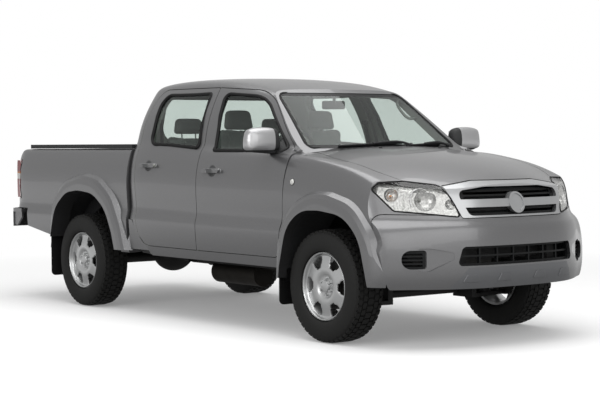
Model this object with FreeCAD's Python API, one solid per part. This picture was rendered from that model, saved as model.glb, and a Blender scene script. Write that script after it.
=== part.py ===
import FreeCAD
import Part
import math
import os

V = FreeCAD.Vector

# Overall sizes
LENGTH = 5220.0
WIDTH_OVER_FLARES = 1835.0
BODY_WIDTH = 1760.0
ROOF_HEIGHT = 1750.0
WHEELBASE = 3085.0
FRONT_OVERHANG = 938.0
TRACK = 1500.0
SKIRT_HEIGHT = 380.0
SILL_HEIGHT = 455.0
BED_RAIL_HEIGHT = 1234.0
BED_FLOOR_HEIGHT = 825.0
PANEL_GAP = 5.0
SEAT_GAP = 0.3
OVERRUN = 400.0

# Wheels
TYRE_RADIUS = 362.0
TYRE_WIDTH = 236.0
RIM_RADIUS = 219.0
RIM_WIDTH = 200.0
KINGPIN_OFFSET = 75.0
SPOKE_COUNT = 6
WHEEL_NUT_COUNT = 6

# Walls
DOOR_WALL = 75.0
DOOR_FRAME_WALL = 26.0
PILLAR_WALL = 40.0
PILLAR_FRAME_WALL = 26.0
FRONT_PANEL_WALL = 28.0
GLASS_WALL = 5.0
GLASS_INSET = 5.0
FLOOR_WALL = 35.0
BULKHEAD_WALL = 35.0
CAB_BACK_WALL = 45.0
BED_WALL = 62.0
BED_FLOOR_WALL = 38.0
TAILGATE_WALL = 55.0

HALF_LENGTH = LENGTH / 2
HALF_BODY = BODY_WIDTH / 2
HALF_FLARES = WIDTH_OVER_FLARES / 2
FRONT_AXLE_Y = FRONT_OVERHANG - HALF_LENGTH
REAR_AXLE_Y = FRONT_AXLE_Y + WHEELBASE
REAR_OVERHANG = LENGTH - FRONT_OVERHANG - WHEELBASE
HALF_TRACK = TRACK / 2


# Places as shares of the driving sizes
def along(share):
    return FRONT_AXLE_Y + share * WHEELBASE


def ahead(share):
    return FRONT_AXLE_Y - share * FRONT_OVERHANG


def behind(share):
    return REAR_AXLE_Y + share * REAR_OVERHANG


def across(share):
    return share * HALF_BODY


def up(share):
    return share * ROOF_HEIGHT


def between(low, high, share):
    return low + (high - low) * share


def table(rows, place):
    """Value at a place from rows of (place, value), straight between them."""
    for (start, first), (end, last) in zip(rows, rows[1:]):
        if place <= end:
            return between(first, last, max(place - start, 0) / (end - start))
    return rows[-1][1]


# Solids from control nets
def knot_line(count):
    spans = count - 3
    return [4] + [1] * (spans - 1) + [4], [float(i) for i in range(spans + 1)]


def net_solid(net):
    """Closed solid: a smooth surface over the net, two flat arches and a flat base."""
    rows, row_knots = knot_line(len(net))
    columns, column_knots = knot_line(len(net[0]))
    surface = Part.BSplineSurface()
    surface.buildFromPolesMultsKnots(net, rows, columns, row_knots, column_knots, False, False, 3, 3)
    arches = [surface.vIso(place).toShape() for place in (column_knots[0], column_knots[-1])]
    rails = [surface.uIso(place).toShape() for place in (row_knots[0], row_knots[-1])]
    bases = [Part.makeLine(net[0][k], net[-1][k]) for k in (0, -1)]
    faces = [surface.toShape()]
    faces += [Part.Face(Part.Wire([arch, base])) for arch, base in zip(arches, bases)]
    faces.append(Part.Face(Part.Wire([rails[0], bases[1], rails[1], bases[0]])))
    shell = Part.Shell(faces)
    shell.sewShape()
    return outward(Part.Solid(shell))


def outward(solid):
    return solid if solid.Volume > 0 else solid.reversed()


def offset_row(points, insets):
    """Moves each point of an open row inward, square to the row."""
    moved = []
    for i, (x, z) in enumerate(points):
        x0, z0 = points[max(i - 1, 0)]
        x1, z1 = points[min(i + 1, len(points) - 1)]
        run = math.hypot(x1 - x0, z1 - z0)
        moved.append((x - insets[i] * (z1 - z0) / run, z + insets[i] * (x1 - x0) / run))
    return moved


# Outlines
def rounded(points):
    """Closed outline through (a, b, radius) corners, each corner an arc."""
    parts = []
    count = len(points)
    for i in range(count):
        before, here, after = points[i - 1], points[i], points[(i + 1) % count]
        to_before = (before[0] - here[0], before[1] - here[1])
        to_after = (after[0] - here[0], after[1] - here[1])
        run_before, run_after = math.hypot(*to_before), math.hypot(*to_after)
        cosine = (to_before[0] * to_after[0] + to_before[1] * to_after[1]) / (run_before * run_after)
        half_angle = math.acos(max(-1.0, min(1.0, cosine))) / 2
        cut = min(here[2] / math.tan(half_angle), run_before * CORNER_SHARE, run_after * CORNER_SHARE)
        if here[2] <= 0 or cut <= 0:
            parts.append([(here[0], here[1])])
            continue
        radius = cut * math.tan(half_angle)
        start = (here[0] + to_before[0] / run_before * cut, here[1] + to_before[1] / run_before * cut)
        end = (here[0] + to_after[0] / run_after * cut, here[1] + to_after[1] / run_after * cut)
        way = (to_before[0] / run_before + to_after[0] / run_after,
               to_before[1] / run_before + to_after[1] / run_after)
        reach = radius / math.sin(half_angle) - radius
        size = math.hypot(*way)
        parts.append([start, (here[0] + way[0] / size * reach, here[1] + way[1] / size * reach), end])
    return parts


CORNER_SHARE = 0.49


def outline_wire(points, place):
    parts = rounded(points)
    edges = []
    for i, part in enumerate(parts):
        if len(part) == 3:
            edges.append(Part.Arc(*[place(*p) for p in part]).toShape())
        following = parts[(i + 1) % len(parts)][0]
        edges.append(Part.makeLine(place(*part[-1]), place(*following)))
    return Part.Wire(edges)


def prism(points, place, way, grow=0.0):
    wire = outline_wire(points, place)
    if grow:
        wire = wire.makeOffset2D(grow)
    return outward(Part.Face(wire).extrude(way))


def side_prism(points, x0, x1, grow=0.0):
    return prism(points, lambda y, z: V(x0, y, z), V(x1 - x0, 0, 0), grow)


def plan_prism(points, z0, z1, grow=0.0):
    return prism(points, lambda x, y: V(x, y, z0), V(0, 0, z1 - z0), grow)


def front_prism(points, y0, y1, grow=0.0):
    return prism(points, lambda x, z: V(x, y0, z), V(0, y1 - y0, 0), grow)


def side_points(shares):
    return [(along(a), up(b), up(r)) for a, b, r in shares]


def front_points(shares):
    return [(across(a), up(b), up(r)) for a, b, r in shares]


def box(x0, x1, y0, y1, z0, z1):
    return Part.makeBox(x1 - x0, y1 - y0, z1 - z0, V(x0, y0, z0))


def rod(start, end, radius):
    way = end.sub(start)
    return Part.makeCylinder(radius, way.Length, start, way)


def mirrored(shape):
    return shape.mirror(V(0, 0, 0), V(1, 0, 0))


def both(shape):
    return [shape, mirrored(shape)]


def fused(shapes):
    first, rest = shapes[0], shapes[1:]
    return first.multiFuse(rest).removeSplitter() if rest else first


def largest(shape):
    return max(shape.Solids, key=lambda solid: solid.Volume)


def save(name, *shapes):
    solids = [solid for shape in shapes for solid in shape.Solids]
    whole = solids[0] if len(solids) == 1 else Part.Compound(solids)
    if not whole.isValid() or not solids:
        print("INVALID", name)
    print(name, len(solids), round(sum(s.Volume for s in solids) / 1e6, 2), flush=True)
    whole.exportStep("parts/" + name + ".step")


os.makedirs("parts", exist_ok=True)

# Body side: half width over height, the same from nose to tail
SIDE_SHARES = (
    (0.946, 0.000), (0.966, 0.059), (0.982, 0.130), (0.992, 0.213), (0.999, 0.296),
    (1.004, 0.372), (1.003, 0.400), (0.988, 0.448), (0.985, 0.476), (0.986, 0.526), (0.993, 0.615),
    (0.996, 0.709), (0.990, 0.804), (0.974, 0.887), (0.955, 0.952), (0.936, 1.000),
)
SHOULDER_SHARES = (
    (-0.400, 0.440), (-0.304, 0.486), (-0.213, 0.551), (-0.168, 0.590), (-0.133, 0.617),
    (-0.068, 0.650), (0.058, 0.683), (0.135, 0.690), (0.412, 0.697), (0.472, 0.704),
    (0.662, 0.718), (1.500, 0.718),
)


def shoulder(y):
    return up(table(SHOULDER_SHARES, (y - FRONT_AXLE_Y) / WHEELBASE))


def side_row(y, top):
    return [(across(w), between(SKIRT_HEIGHT, top, h)) for w, h in SIDE_SHARES]


def whole_row(half):
    """A half row from the left sill to the middle, and its mirror image back down."""
    return [V(x, y, z) for x, y, z in half] + [V(-x, y, z) for x, y, z in half[-2::-1]]


# Cab: side, tumblehome and roof
TUMBLE_SHARES = (
    (0.923, 0.721), (0.910, 0.750), (0.893, 0.783), (0.868, 0.820), (0.836, 0.858),
    (0.800, 0.893), (0.764, 0.925), (0.733, 0.950), (0.706, 0.970),
)
ROOF_EDGE_SHARES = ((0.664, 0.984), (0.590, 0.990), (0.440, 0.995), (0.240, 0.999), (0.000, 1.000))
ROOF_LINE_SHARES = (
    (0.050, 0.880), (0.180, 0.905), (0.273, 0.940), (0.354, 0.972), (0.435, 0.993),
    (0.500, 1.000), (0.597, 1.004), (0.694, 0.999), (0.760, 0.990),
)
CAB_TAPER_SHARES = (
    (0.050, 0.880), (0.130, 0.882), (0.220, 0.892), (0.290, 0.915), (0.400, 0.960),
    (0.500, 0.990), (0.600, 1.000), (0.760, 0.995),
)
CAB_STATION_SHARES = (0.112, 0.150, 0.210, 0.290, 0.370, 0.450, 0.530, 0.610, 0.680, 0.725, 0.748, 0.7594)
CAB_END_INSET_SHARES = (0, 0, 0, 0, 0, 0, 0, 0, 0, 0.001, 0.004, 0.014)


def cab_half_row(y):
    share = (y - FRONT_AXLE_Y) / WHEELBASE
    low = side_row(y, shoulder(y))
    taper = table(CAB_TAPER_SHARES, share)
    lift = table(ROOF_LINE_SHARES, share)
    belt = shoulder(y)
    row = list(low)
    for w, h in TUMBLE_SHARES:
        start = TUMBLE_SHARES[0][1]
        z = between(belt + BELT_STEP, up(lift), (h - start) / (1 - start))
        row.append((across(w) * taper, z))
    for w, h in ROOF_EDGE_SHARES:
        row.append((across(w) * taper, up(h) * lift))
    return row, len(low)


BELT_STEP = 30.0


def cab_hull(side_inset, frame_inset, front, back):
    """The cab's solid, its walls drawn in and its first and last rows put at two places."""
    net = []
    for share, end in zip(CAB_STATION_SHARES, CAB_END_INSET_SHARES):
        y = along(share)
        if share == CAB_STATION_SHARES[0]:
            y = front
        if share == CAB_STATION_SHARES[-1]:
            y = back
        half, low = cab_half_row(along(share))
        insets = [up(end) + (side_inset if i < low - 1 else frame_inset) for i in range(len(half))]
        moved = offset_row(half, insets)
        moved[0] = (moved[0][0], SKIRT_HEIGHT)
        moved[-1] = (0.0, moved[-1][1])
        net.append(whole_row([(x, y, z) for x, z in moved]))
    return net_solid([list(column) for column in zip(*net)])


# Windscreen surface
SCREEN_BASE_Y_SHARE = 0.0883
SCREEN_BASE_Z_SHARE = 0.7017
SCREEN_SLOPE = 0.717
SCREEN_COLUMN_SHARES = (
    (0.000, 0.000), (0.220, 0.009), (0.440, 0.044), (0.630, 0.094), (0.750, 0.134), (0.815, 0.160),
    (0.850, 0.120), (0.880, -0.100), (0.960, -0.300), (1.150, -0.500),
)
SCREEN_ROW_SHARES = (-0.10, 0.20, 0.50, 0.60, 0.70, 0.80, 0.88, 0.95, 1.05, 1.15)
SCREEN_ROW_BOW_SHARES = (0.0, 0.0, 0.0, 0.0, 0.0, -0.006, -0.008, -0.004, 0.008, 0.03)


def screen_net(setback):
    net = []
    for height, bow in zip(SCREEN_ROW_SHARES, SCREEN_ROW_BOW_SHARES):
        y = along(SCREEN_BASE_Y_SHARE) + (up(height) - up(SCREEN_BASE_Z_SHARE)) / SCREEN_SLOPE
        y += setback + bow * ROOF_HEIGHT
        half = [V(across(w), y + s * HALF_BODY, up(height)) for w, s in SCREEN_COLUMN_SHARES]
        net.append([V(-p.x, p.y, p.z) for p in half[:0:-1]] + half)
    return net


def screen_solid(setback, depth):
    net = screen_net(setback)
    rows, row_knots = knot_line(len(net))
    columns, column_knots = knot_line(len(net[0]))
    surface = Part.BSplineSurface()
    surface.buildFromPolesMultsKnots(net, rows, columns, row_knots, column_knots, False, False, 3, 3)
    return outward(surface.toShape().extrude(V(0, depth, 0)))


CAB_BACK = along(CAB_STATION_SHARES[-1])
CAB_FRONT = along(CAB_STATION_SHARES[0])
SCREEN_RUN = WHEELBASE
SCREEN_FRAME_DEPTH = 60.0

cab_outer = cab_hull(0, 0, CAB_FRONT, CAB_BACK).common(screen_solid(0, SCREEN_RUN))
cab_inner = cab_hull(DOOR_WALL + PANEL_GAP + PILLAR_WALL, DOOR_FRAME_WALL + PANEL_GAP + PILLAR_FRAME_WALL,
                     CAB_FRONT + BULKHEAD_WALL, CAB_BACK - CAB_BACK_WALL)
cab_inner = cab_inner.common(screen_solid(SCREEN_FRAME_DEPTH, SCREEN_RUN))
cab_under_door = cab_hull(DOOR_WALL, DOOR_FRAME_WALL, CAB_FRONT, CAB_BACK)
cab_recess = cab_hull(DOOR_WALL + PANEL_GAP, DOOR_FRAME_WALL + PANEL_GAP, CAB_FRONT - OVERRUN, CAB_BACK)


# Doors
FRONT_DOOR = side_points((
    (0.147, 0.298, 0.030), (0.132, 0.457, 0.140), (0.119, 0.696, 0.008), (0.143, 0.7017, 0.030),
    (0.297, 0.935, 0.290), (0.474, 0.955, 0.006), (0.459, 0.701, 0.0), (0.462, 0.298, 0.006),
))
REAR_DOOR = side_points((
    (0.462, 0.298, 0.006), (0.459, 0.701, 0.0), (0.474, 0.955, 0.006), (0.720, 0.957, 0.075),
    (0.732, 0.800, 0.230), (0.729, 0.571, 0.230), (0.719, 0.300, 0.108),
))
FRONT_WINDOW = side_points((
    (0.416, 0.699, 0.009), (0.151, 0.688, 0.011), (0.303, 0.917, 0.246), (0.4465, 0.9326, 0.023),
))
REAR_WINDOW = side_points((
    (0.475, 0.707, 0.009), (0.682, 0.724, 0.040), (0.694, 0.937, 0.051), (0.493, 0.9355, 0.014),
))
FRONT_APERTURE = side_points((
    (0.178, 0.325, 0.060), (0.168, 0.690, 0.050), (0.320, 0.915, 0.200), (0.455, 0.930, 0.015),
    (0.440, 0.700, 0.0), (0.440, 0.325, 0.020),
))
REAR_APERTURE = side_points((
    (0.486, 0.325, 0.020), (0.482, 0.700, 0.0), (0.494, 0.930, 0.015), (0.690, 0.932, 0.050),
    (0.700, 0.600, 0.100), (0.680, 0.340, 0.090),
))
HALF_CUT_INNER = 300.0

left_side = (HALF_CUT_INNER, HALF_BODY + OVERRUN)
door_skins = cab_outer.cut(cab_under_door)
glass_layer = cab_hull(GLASS_INSET, GLASS_INSET, CAB_FRONT, CAB_BACK)
GLASS_BACK = GLASS_INSET + GLASS_WALL
glass_layer = glass_layer.cut(cab_hull(GLASS_BACK, GLASS_BACK, CAB_FRONT - OVERRUN, CAB_BACK + OVERRUN))


def door_parts(door, window):
    panel = largest(door_skins.common(side_prism(door, *left_side, -PANEL_GAP / 2)))
    panel = panel.cut(side_prism(window, *left_side))
    panel = largest(panel)
    glass = largest(glass_layer.common(side_prism(window, *left_side, -SEAT_GAP)))
    return panel, glass


front_door, front_glass = door_parts(FRONT_DOOR, FRONT_WINDOW)
rear_door, rear_glass = door_parts(REAR_DOOR, REAR_WINDOW)

# Cab shell
recess = side_prism(FRONT_DOOR, *left_side, PANEL_GAP / 2).fuse(side_prism(REAR_DOOR, *left_side,
                                                                           PANEL_GAP / 2))
recess = recess.cut(cab_recess)
apertures = side_prism(FRONT_APERTURE, *left_side).fuse(side_prism(REAR_APERTURE, *left_side))


# Front body: side, shoulder and bonnet top, met by the nose
BONNET_LINE_SHARES = (
    (-0.400, 0.480), (-0.304, 0.545), (-0.249, 0.596), (-0.213, 0.619), (-0.168, 0.641),
    (-0.133, 0.657), (-0.068, 0.680), (0.058, 0.708), (0.135, 0.720), (0.300, 0.720),
)
TOP_COLUMN_SHARES = (
    (0.905, -0.06), (0.860, 0.00), (0.800, 0.06), (0.720, 0.20), (0.600, 0.44), (0.470, 0.66),
    (0.320, 0.85), (0.160, 0.96), (0.000, 1.00),
)
FRONT_STATION_SHARES = (-0.400, -0.320, -0.250, -0.200, -0.150, -0.080, 0.000, 0.060, 0.110, 0.165, 0.230)


def front_half_row(share):
    low = shoulder(along(share))
    crown = up(table(BONNET_LINE_SHARES, share))
    row = side_row(along(share), low - SHOULDER_DROP)
    return row + [(across(w), between(low, crown, h)) for w, h in TOP_COLUMN_SHARES]


SHOULDER_DROP = 18.0


def front_hull(inset):
    net = []
    for share in FRONT_STATION_SHARES:
        half = front_half_row(share)
        moved = offset_row(half, [inset] * len(half))
        moved[0] = (moved[0][0], SKIRT_HEIGHT)
        moved[-1] = (0.0, moved[-1][1])
        net.append(whole_row([(x, along(share), z) for x, z in moved]))
    return net_solid([list(column) for column in zip(*net)])


# Nose: rows of (height, reach of the middle, sweep back to the corner)
NOSE_ROW_SHARES = (
    (0.217, 0.972, 0.350), (0.245, 0.990, 0.350), (0.275, 1.000, 0.352), (0.320, 1.003, 0.354),
    (0.366, 1.001, 0.360), (0.405, 0.994, 0.370), (0.436, 0.984, 0.388), (0.452, 0.956, 0.420),
    (0.470, 0.948, 0.430), (0.530, 0.922, 0.430),
    (0.566, 0.893, 0.428), (0.588, 0.865, 0.425), (0.604, 0.835, 0.420), (0.618, 0.805, 0.415),
    (0.650, 0.760, 0.410), (0.700, 0.720, 0.400), (0.800, 0.700, 0.400),
)
NOSE_PLAN_SHARES = (
    (0.000, 0.000), (0.170, 0.008), (0.340, 0.045), (0.480, 0.125), (0.600, 0.270), (0.710, 0.440),
    (0.810, 0.640), (0.900, 0.800), (0.985, 0.950), (1.040, 1.150), (1.050, 1.500), (1.050, 2.200),
)
NOSE_BACK_SHARE = 0.260


def nose_hull(inset):
    net = []
    for height, reach, sweep in NOSE_ROW_SHARES:
        half = []
        for w, s in NOSE_PLAN_SHARES:
            y = ahead(reach - sweep * s) + inset
            half.append(V(across(w) - (inset if w > 1 else 0), y, up(height)))
        half.append(V(half[-1].x, along(NOSE_BACK_SHARE), half[-1].z))
        net.append([V(-p.x, p.y, p.z) for p in half[:0:-1]] + half)
    return net_solid([list(column) for column in zip(*net)])


def nose_y(x, z):
    """Place of the nose's face at a half-width and a height."""
    share = z / ROOF_HEIGHT
    reach = table([(h, r) for h, r, s in NOSE_ROW_SHARES], share)
    sweep = table([(h, s) for h, r, s in NOSE_ROW_SHARES], share)
    return ahead(reach - sweep * table(NOSE_PLAN_SHARES, x / HALF_BODY))


# Front outlines, each a share of the half width and the roof height
BUMPER = [(along(a), up(b), up(r)) for a, b, r in (
    (-0.400, 0.150, 0.0), (-0.213, 0.150, 0.0), (-0.162, 0.477, 0.020), (-0.400, 0.464, 0.0),
)]
BONNET = [(across(a), along(b), up(r)) for a, b, r in (
    (0.745, 0.100, 0.020), (0.822, 0.010, 0.200), (0.800, -0.120, 0.200), (0.735, -0.172, 0.080),
    (0.520, -0.260, 0.010), (0.520, -0.400, 0.0), (-0.520, -0.400, 0.0), (-0.520, -0.260, 0.010),
    (-0.735, -0.172, 0.080), (-0.800, -0.120, 0.200), (-0.822, 0.010, 0.200), (-0.745, 0.100, 0.020),
    (-0.430, 0.079, 0.200), (0.430, 0.079, 0.200),
)]
HEADLAMP = front_points((
    (0.488, 0.466, 0.010), (0.864, 0.489, 0.012), (0.962, 0.565, 0.014), (0.905, 0.588, 0.010),
    (0.730, 0.591, 0.020), (0.568, 0.578, 0.010),
))
GRILLE_PANEL = front_points((
    (-0.480, 0.4635, 0.006), (0.480, 0.4635, 0.006), (0.562, 0.572, 0.010), (0.300, 0.590, 0.100),
    (-0.300, 0.590, 0.100), (-0.562, 0.572, 0.010),
))
GRILLE_OPENING = front_points((
    (-0.425, 0.4700, 0.024), (0.425, 0.4700, 0.024), (0.494, 0.556, 0.022), (0.270, 0.570, 0.100),
    (-0.270, 0.570, 0.100), (-0.494, 0.556, 0.022),
))
LOWER_OPENING = front_points((
    (-0.560, 0.298, 0.014), (0.560, 0.298, 0.014), (0.522, 0.365, 0.018), (-0.522, 0.365, 0.018),
))
SKID_PANEL = front_points((
    (-0.588, 0.150, 0.0), (0.588, 0.150, 0.0), (0.588, 0.225, 0.006), (0.480, 0.291, 0.010),
    (-0.480, 0.291, 0.010), (-0.588, 0.225, 0.006),
))
FOG_SCOOP = front_points((
    (0.730, 0.281, 0.006), (0.790, 0.281, 0.006), (0.790, 0.361, 0.006), (0.730, 0.361, 0.006),
    (0.580, 0.346, 0.010), (0.580, 0.322, 0.010),
))
FOG_OPENING = front_points((
    (0.735, 0.289, 0.010), (0.888, 0.289, 0.030), (0.888, 0.354, 0.030), (0.735, 0.354, 0.010),
))
FRONT_DOOR_EDGE = side_points((
    (0.147, 0.150, 0.0), (0.147, 0.298, 0.0), (0.132, 0.457, 0.140), (0.119, 0.696, 0.0),
    (0.119, 0.800, 0.0), (0.400, 0.800, 0.0), (0.400, 0.150, 0.0),
))
FRONT_ARCH_SHARES = (
    (1.130, -0.300, 0.0), (1.060, 0.300, 0.50), (0.860, 1.020, 0.70), (0.420, 1.330, 0.80),
    (-0.100, 1.345, 1.50), (-0.780, 1.270, 0.90), (-1.200, 0.900, 0.80), (-1.370, 0.300, 0.80),
    (-1.500, -0.300, 0.0),
)
FRONT_FLARE_SHARES = (
    (1.260, -0.300, 0.0), (1.200, 0.800, 0.50), (0.880, 1.450, 0.80), (0.300, 1.700, 1.20),
    (-0.300, 1.720, 1.20), (-1.080, 1.540, 1.00), (-1.500, 1.050, 0.90), (-1.700, 0.500, 0.80),
    (-1.850, -0.300, 0.0),
)
REAR_ARCH_SHARES = (
    (1.180, -0.300, 0.0), (1.130, 0.480, 0.40), (0.900, 1.130, 0.70), (0.400, 1.470, 0.80),
    (-0.140, 1.530, 1.50), (-0.780, 1.470, 0.90), (-1.280, 1.160, 0.90), (-1.540, 0.680, 0.80),
    (-1.700, 0.200, 0.50), (-1.780, -0.300, 0.0),
)
REAR_FLARE_SHARES = (
    (1.320, -0.300, 0.0), (1.240, 0.500, 0.40), (1.130, 1.260, 0.60), (0.680, 1.760, 0.90),
    (-0.300, 1.950, 1.50), (-1.000, 1.860, 0.90), (-1.560, 1.500, 0.90), (-1.880, 0.950, 0.90),
    (-2.080, 0.400, 0.50), (-2.300, -0.300, 0.0),
)


def wheel_points(shares, axle):
    return [(axle + a * TYRE_RADIUS, TYRE_RADIUS * (1 + b), r * TYRE_RADIUS) for a, b, r in shares]


UNDER_NOSE_RUN = (along(-0.2), along(0.5))
front_outer = front_hull(0).common(nose_hull(0))
front_inner = front_hull(FRONT_PANEL_WALL).common(nose_hull(FRONT_PANEL_WALL))
front_inner = front_inner.fuse(box(-HALF_BODY * 0.9, HALF_BODY * 0.9, *UNDER_NOSE_RUN, 0, SILL_HEIGHT))
front_shell = front_outer.cut(front_inner)
front_shell = front_shell.cut(side_prism(FRONT_DOOR_EDGE, -HALF_LENGTH, HALF_LENGTH, PANEL_GAP / 2))


ENDS = (-HALF_LENGTH, HALF_LENGTH)
NOSE_RUN = (-HALF_LENGTH - OVERRUN, FRONT_AXLE_Y)


def arch_prism(shares, axle, inner, outer, grow=0.0):
    return side_prism(wheel_points(shares, axle), inner, outer, grow)


FLARE_STEP_SHARES = ((0.62, 0.09), (0.90, 0.16), (1.00, 0.26))
FLARE_FRONT_SHRINK_SHARE = 0.8
FLARE_REAR_SHRINK_SHARE = 0.5


def flare(shares, arch_shares, axle, inset, lip, low):
    """Bulging lip round a wheel arch: a loft that narrows outward, less the arch."""
    sections = [outline_wire(wheel_points(shares, axle), lambda y, z: V(HALF_BODY - inset, y, z))]
    for reach, shrink in FLARE_STEP_SHARES:
        points = []
        for a, b, r in shares:
            inward = shrink * (FLARE_REAR_SHRINK_SHARE if a > 0 else -FLARE_FRONT_SHRINK_SHARE)
            points.append((a - inward, b - (shrink if b > 0 else 0), r))
        sections.append(outline_wire(wheel_points(points, axle), lambda y, z,
                                     x=HALF_BODY + lip * reach: V(x, y, z)))
    body = outward(Part.makeLoft(sections, True, True))
    body = body.cut(arch_prism(arch_shares, axle, 0, HALF_LENGTH))
    return body.cut(box(*ENDS, *ENDS, -OVERRUN, low))


FLARE_SINK = 30.0
FRONT_FLARE_LOW = 395.0
REAR_FLARE_LOW = 477.0
FLARE_LIP = HALF_FLARES - HALF_BODY

bonnet_cut = plan_prism(BONNET, 0, 2 * ROOF_HEIGHT)
bonnet_clear = plan_prism(BONNET, 0, 2 * ROOF_HEIGHT, PANEL_GAP)
headlamp_cut = front_prism(HEADLAMP, *NOSE_RUN)
headlamp_clear = front_prism(HEADLAMP, *NOSE_RUN, PANEL_GAP)
grille_clear = front_prism(GRILLE_PANEL, *NOSE_RUN, PANEL_GAP)
bumper_clear = side_prism(BUMPER, *ENDS, PANEL_GAP)
axle_arch = arch_prism(FRONT_ARCH_SHARES, FRONT_AXLE_Y, HALF_CUT_INNER, HALF_LENGTH)

low_nose = box(*ENDS, *NOSE_RUN, 0, up(0.55))
bonnet = largest(front_shell.common(bonnet_cut).cut(grille_clear).cut(headlamp_clear)
                 .cut(mirrored(headlamp_clear)).cut(low_nose))
screen_clear = screen_solid(-PANEL_GAP, SCREEN_RUN)
COWL_HALF = across(0.760)
COWL_FRONT = along(0.070)
cowl_zone = box(-COWL_HALF - SEAT_GAP, COWL_HALF + SEAT_GAP, COWL_FRONT, along(0.5), 0, 2 * ROOF_HEIGHT)
fender = front_shell.cut(bonnet_clear).cut(headlamp_clear).cut(grille_clear).cut(bumper_clear)
fender = fender.cut(box(-HALF_LENGTH, HALF_CUT_INNER, *ENDS, 0, 2 * ROOF_HEIGHT))
fender = fender.cut(box(*ENDS, *ENDS, 0, SILL_HEIGHT))
fender = largest(fender.cut(axle_arch).cut(cowl_zone))
front_flare = flare(FRONT_FLARE_SHARES, FRONT_ARCH_SHARES, FRONT_AXLE_Y, FLARE_SINK, FLARE_LIP,
                    FRONT_FLARE_LOW)
front_flare = front_flare.cut(side_prism(FRONT_DOOR_EDGE, *ENDS, PANEL_GAP / 2)).common(nose_hull(0))
fender = fused([fender, largest(front_flare)])

bumper = front_shell.common(side_prism(BUMPER, *ENDS))
for cutter in (front_prism(LOWER_OPENING, *NOSE_RUN), front_prism(SKID_PANEL, *NOSE_RUN, SEAT_GAP),
               front_prism(FOG_OPENING, *NOSE_RUN), mirrored(front_prism(FOG_OPENING, *NOSE_RUN))):
    bumper = bumper.cut(cutter)
bumper = bumper.cut(axle_arch).cut(mirrored(axle_arch))
bumper = bumper.cut(grille_clear).cut(headlamp_clear).cut(mirrored(headlamp_clear))
bumper = bumper.cut(front_flare).cut(mirrored(front_flare))
SCOOP_DEPTH = 18.0
SCOOP_START = across(0.560)
SCOOP_END = across(0.800)
scoop_z = up(0.320)
scoop = plan_prism([
    (SCOOP_START, nose_y(SCOOP_START, scoop_z), 0), (SCOOP_END, nose_y(SCOOP_END, scoop_z) + SCOOP_DEPTH, 0),
    (SCOOP_END, NOSE_RUN[0], 0), (SCOOP_START, NOSE_RUN[0], 0),
], 0, ROOF_HEIGHT)
scoop = scoop.common(front_prism(FOG_SCOOP, *NOSE_RUN))
bumper = largest(bumper.cut(scoop).cut(mirrored(scoop)))
skid_panel = largest(front_shell.common(front_prism(SKID_PANEL, *NOSE_RUN)))
grille_panel = largest(front_shell.common(front_prism(GRILLE_PANEL, *NOSE_RUN))
                       .cut(front_prism(GRILLE_OPENING, *NOSE_RUN)))
LENS_WALL = 6.0
LAMP_DEPTH = 70.0
lamp_cover = front_outer.cut(front_hull(LENS_WALL).common(nose_hull(LENS_WALL)))
lamp = largest(lamp_cover.common(headlamp_cut))

# Bar across the grille with a plain round boss, and the bars of the inserts behind
INSERT_WALL = 20.0
BAR_LOW = up(0.499)
BAR_HIGH = up(0.527)
BOSS_RADIUS = 66.0
BOSS_PROUD = 8.0
BOSS_RING = 12.0
BOSS_SINK = 5.0
boss_z = (BAR_LOW + BAR_HIGH) / 2
bar = box(-HALF_BODY, HALF_BODY, *NOSE_RUN, BAR_LOW, BAR_HIGH)
bar = bar.common(front_prism(GRILLE_OPENING, *NOSE_RUN, SEAT_GAP))
boss_run = [V(0, y, boss_z) for y in NOSE_RUN]
boss = nose_hull(-BOSS_PROUD).common(rod(*boss_run, BOSS_RADIUS)).cut(front_inner)
boss = boss.cut(rod(*boss_run, BOSS_RADIUS - BOSS_RING).cut(nose_hull(BOSS_SINK - BOSS_PROUD)))
grille_panel = largest(fused([grille_panel, front_shell.common(bar), boss]))

save("bonnet", bonnet)
save("bumper_front", bumper)
save("skid_panel", skid_panel)
save("grille_panel", grille_panel)
save("headlamp_lenses", *both(lamp))

SLAT_WALL = 11.0
SLAT_GAP = 16.0
FOG_SLAT_GAP = 12.0
SLAT_END = 14.0
MESH_POST = 10.0


def slots(half_inner, half_outer, low, high, gap, wall, columns):
    """Rows and columns of windows between bars, cut through an insert."""
    rows = int((high - low + wall) / (gap + wall))
    width = (half_outer - half_inner - (columns - 1) * MESH_POST) / columns
    windows = []
    for row in range(rows):
        z = low + row * (gap + wall)
        for column in range(columns):
            x = half_inner + column * (width + MESH_POST)
            windows.append(box(x, x + width, *NOSE_RUN, z, z + gap))
    return windows


insert_layer = front_hull(FRONT_PANEL_WALL + SEAT_GAP).common(nose_hull(FRONT_PANEL_WALL + SEAT_GAP))
insert_back = FRONT_PANEL_WALL + INSERT_WALL
insert_layer = insert_layer.cut(front_hull(insert_back).common(nose_hull(insert_back)))
grille_insert = largest(insert_layer.common(front_prism(GRILLE_OPENING, *NOSE_RUN, 2 * PANEL_GAP)))
lower_insert = largest(insert_layer.common(front_prism(LOWER_OPENING, *NOSE_RUN, 2 * PANEL_GAP)))
fog_insert = largest(insert_layer.common(front_prism(FOG_OPENING, *NOSE_RUN, 2 * PANEL_GAP)))
GRILLE_HALF = across(0.425)
GRILLE_SLOT_RUNS = ((GRILLE_OPENING[0][1] + SLAT_END, BAR_LOW), (BAR_HIGH, up(0.560)))
for low, high in GRILLE_SLOT_RUNS:
    for window in slots(-GRILLE_HALF, GRILLE_HALF, low, high, SLAT_GAP, SLAT_WALL, 2):
        grille_insert = grille_insert.cut(window)
LOWER_HALF = across(0.520)
LOWER_COLUMNS = 7
lower_low = LOWER_OPENING[0][1] + SLAT_END
lower_gap = (LOWER_OPENING[2][1] - LOWER_OPENING[0][1] - 2 * SLAT_END - SLAT_WALL) / 2
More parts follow.
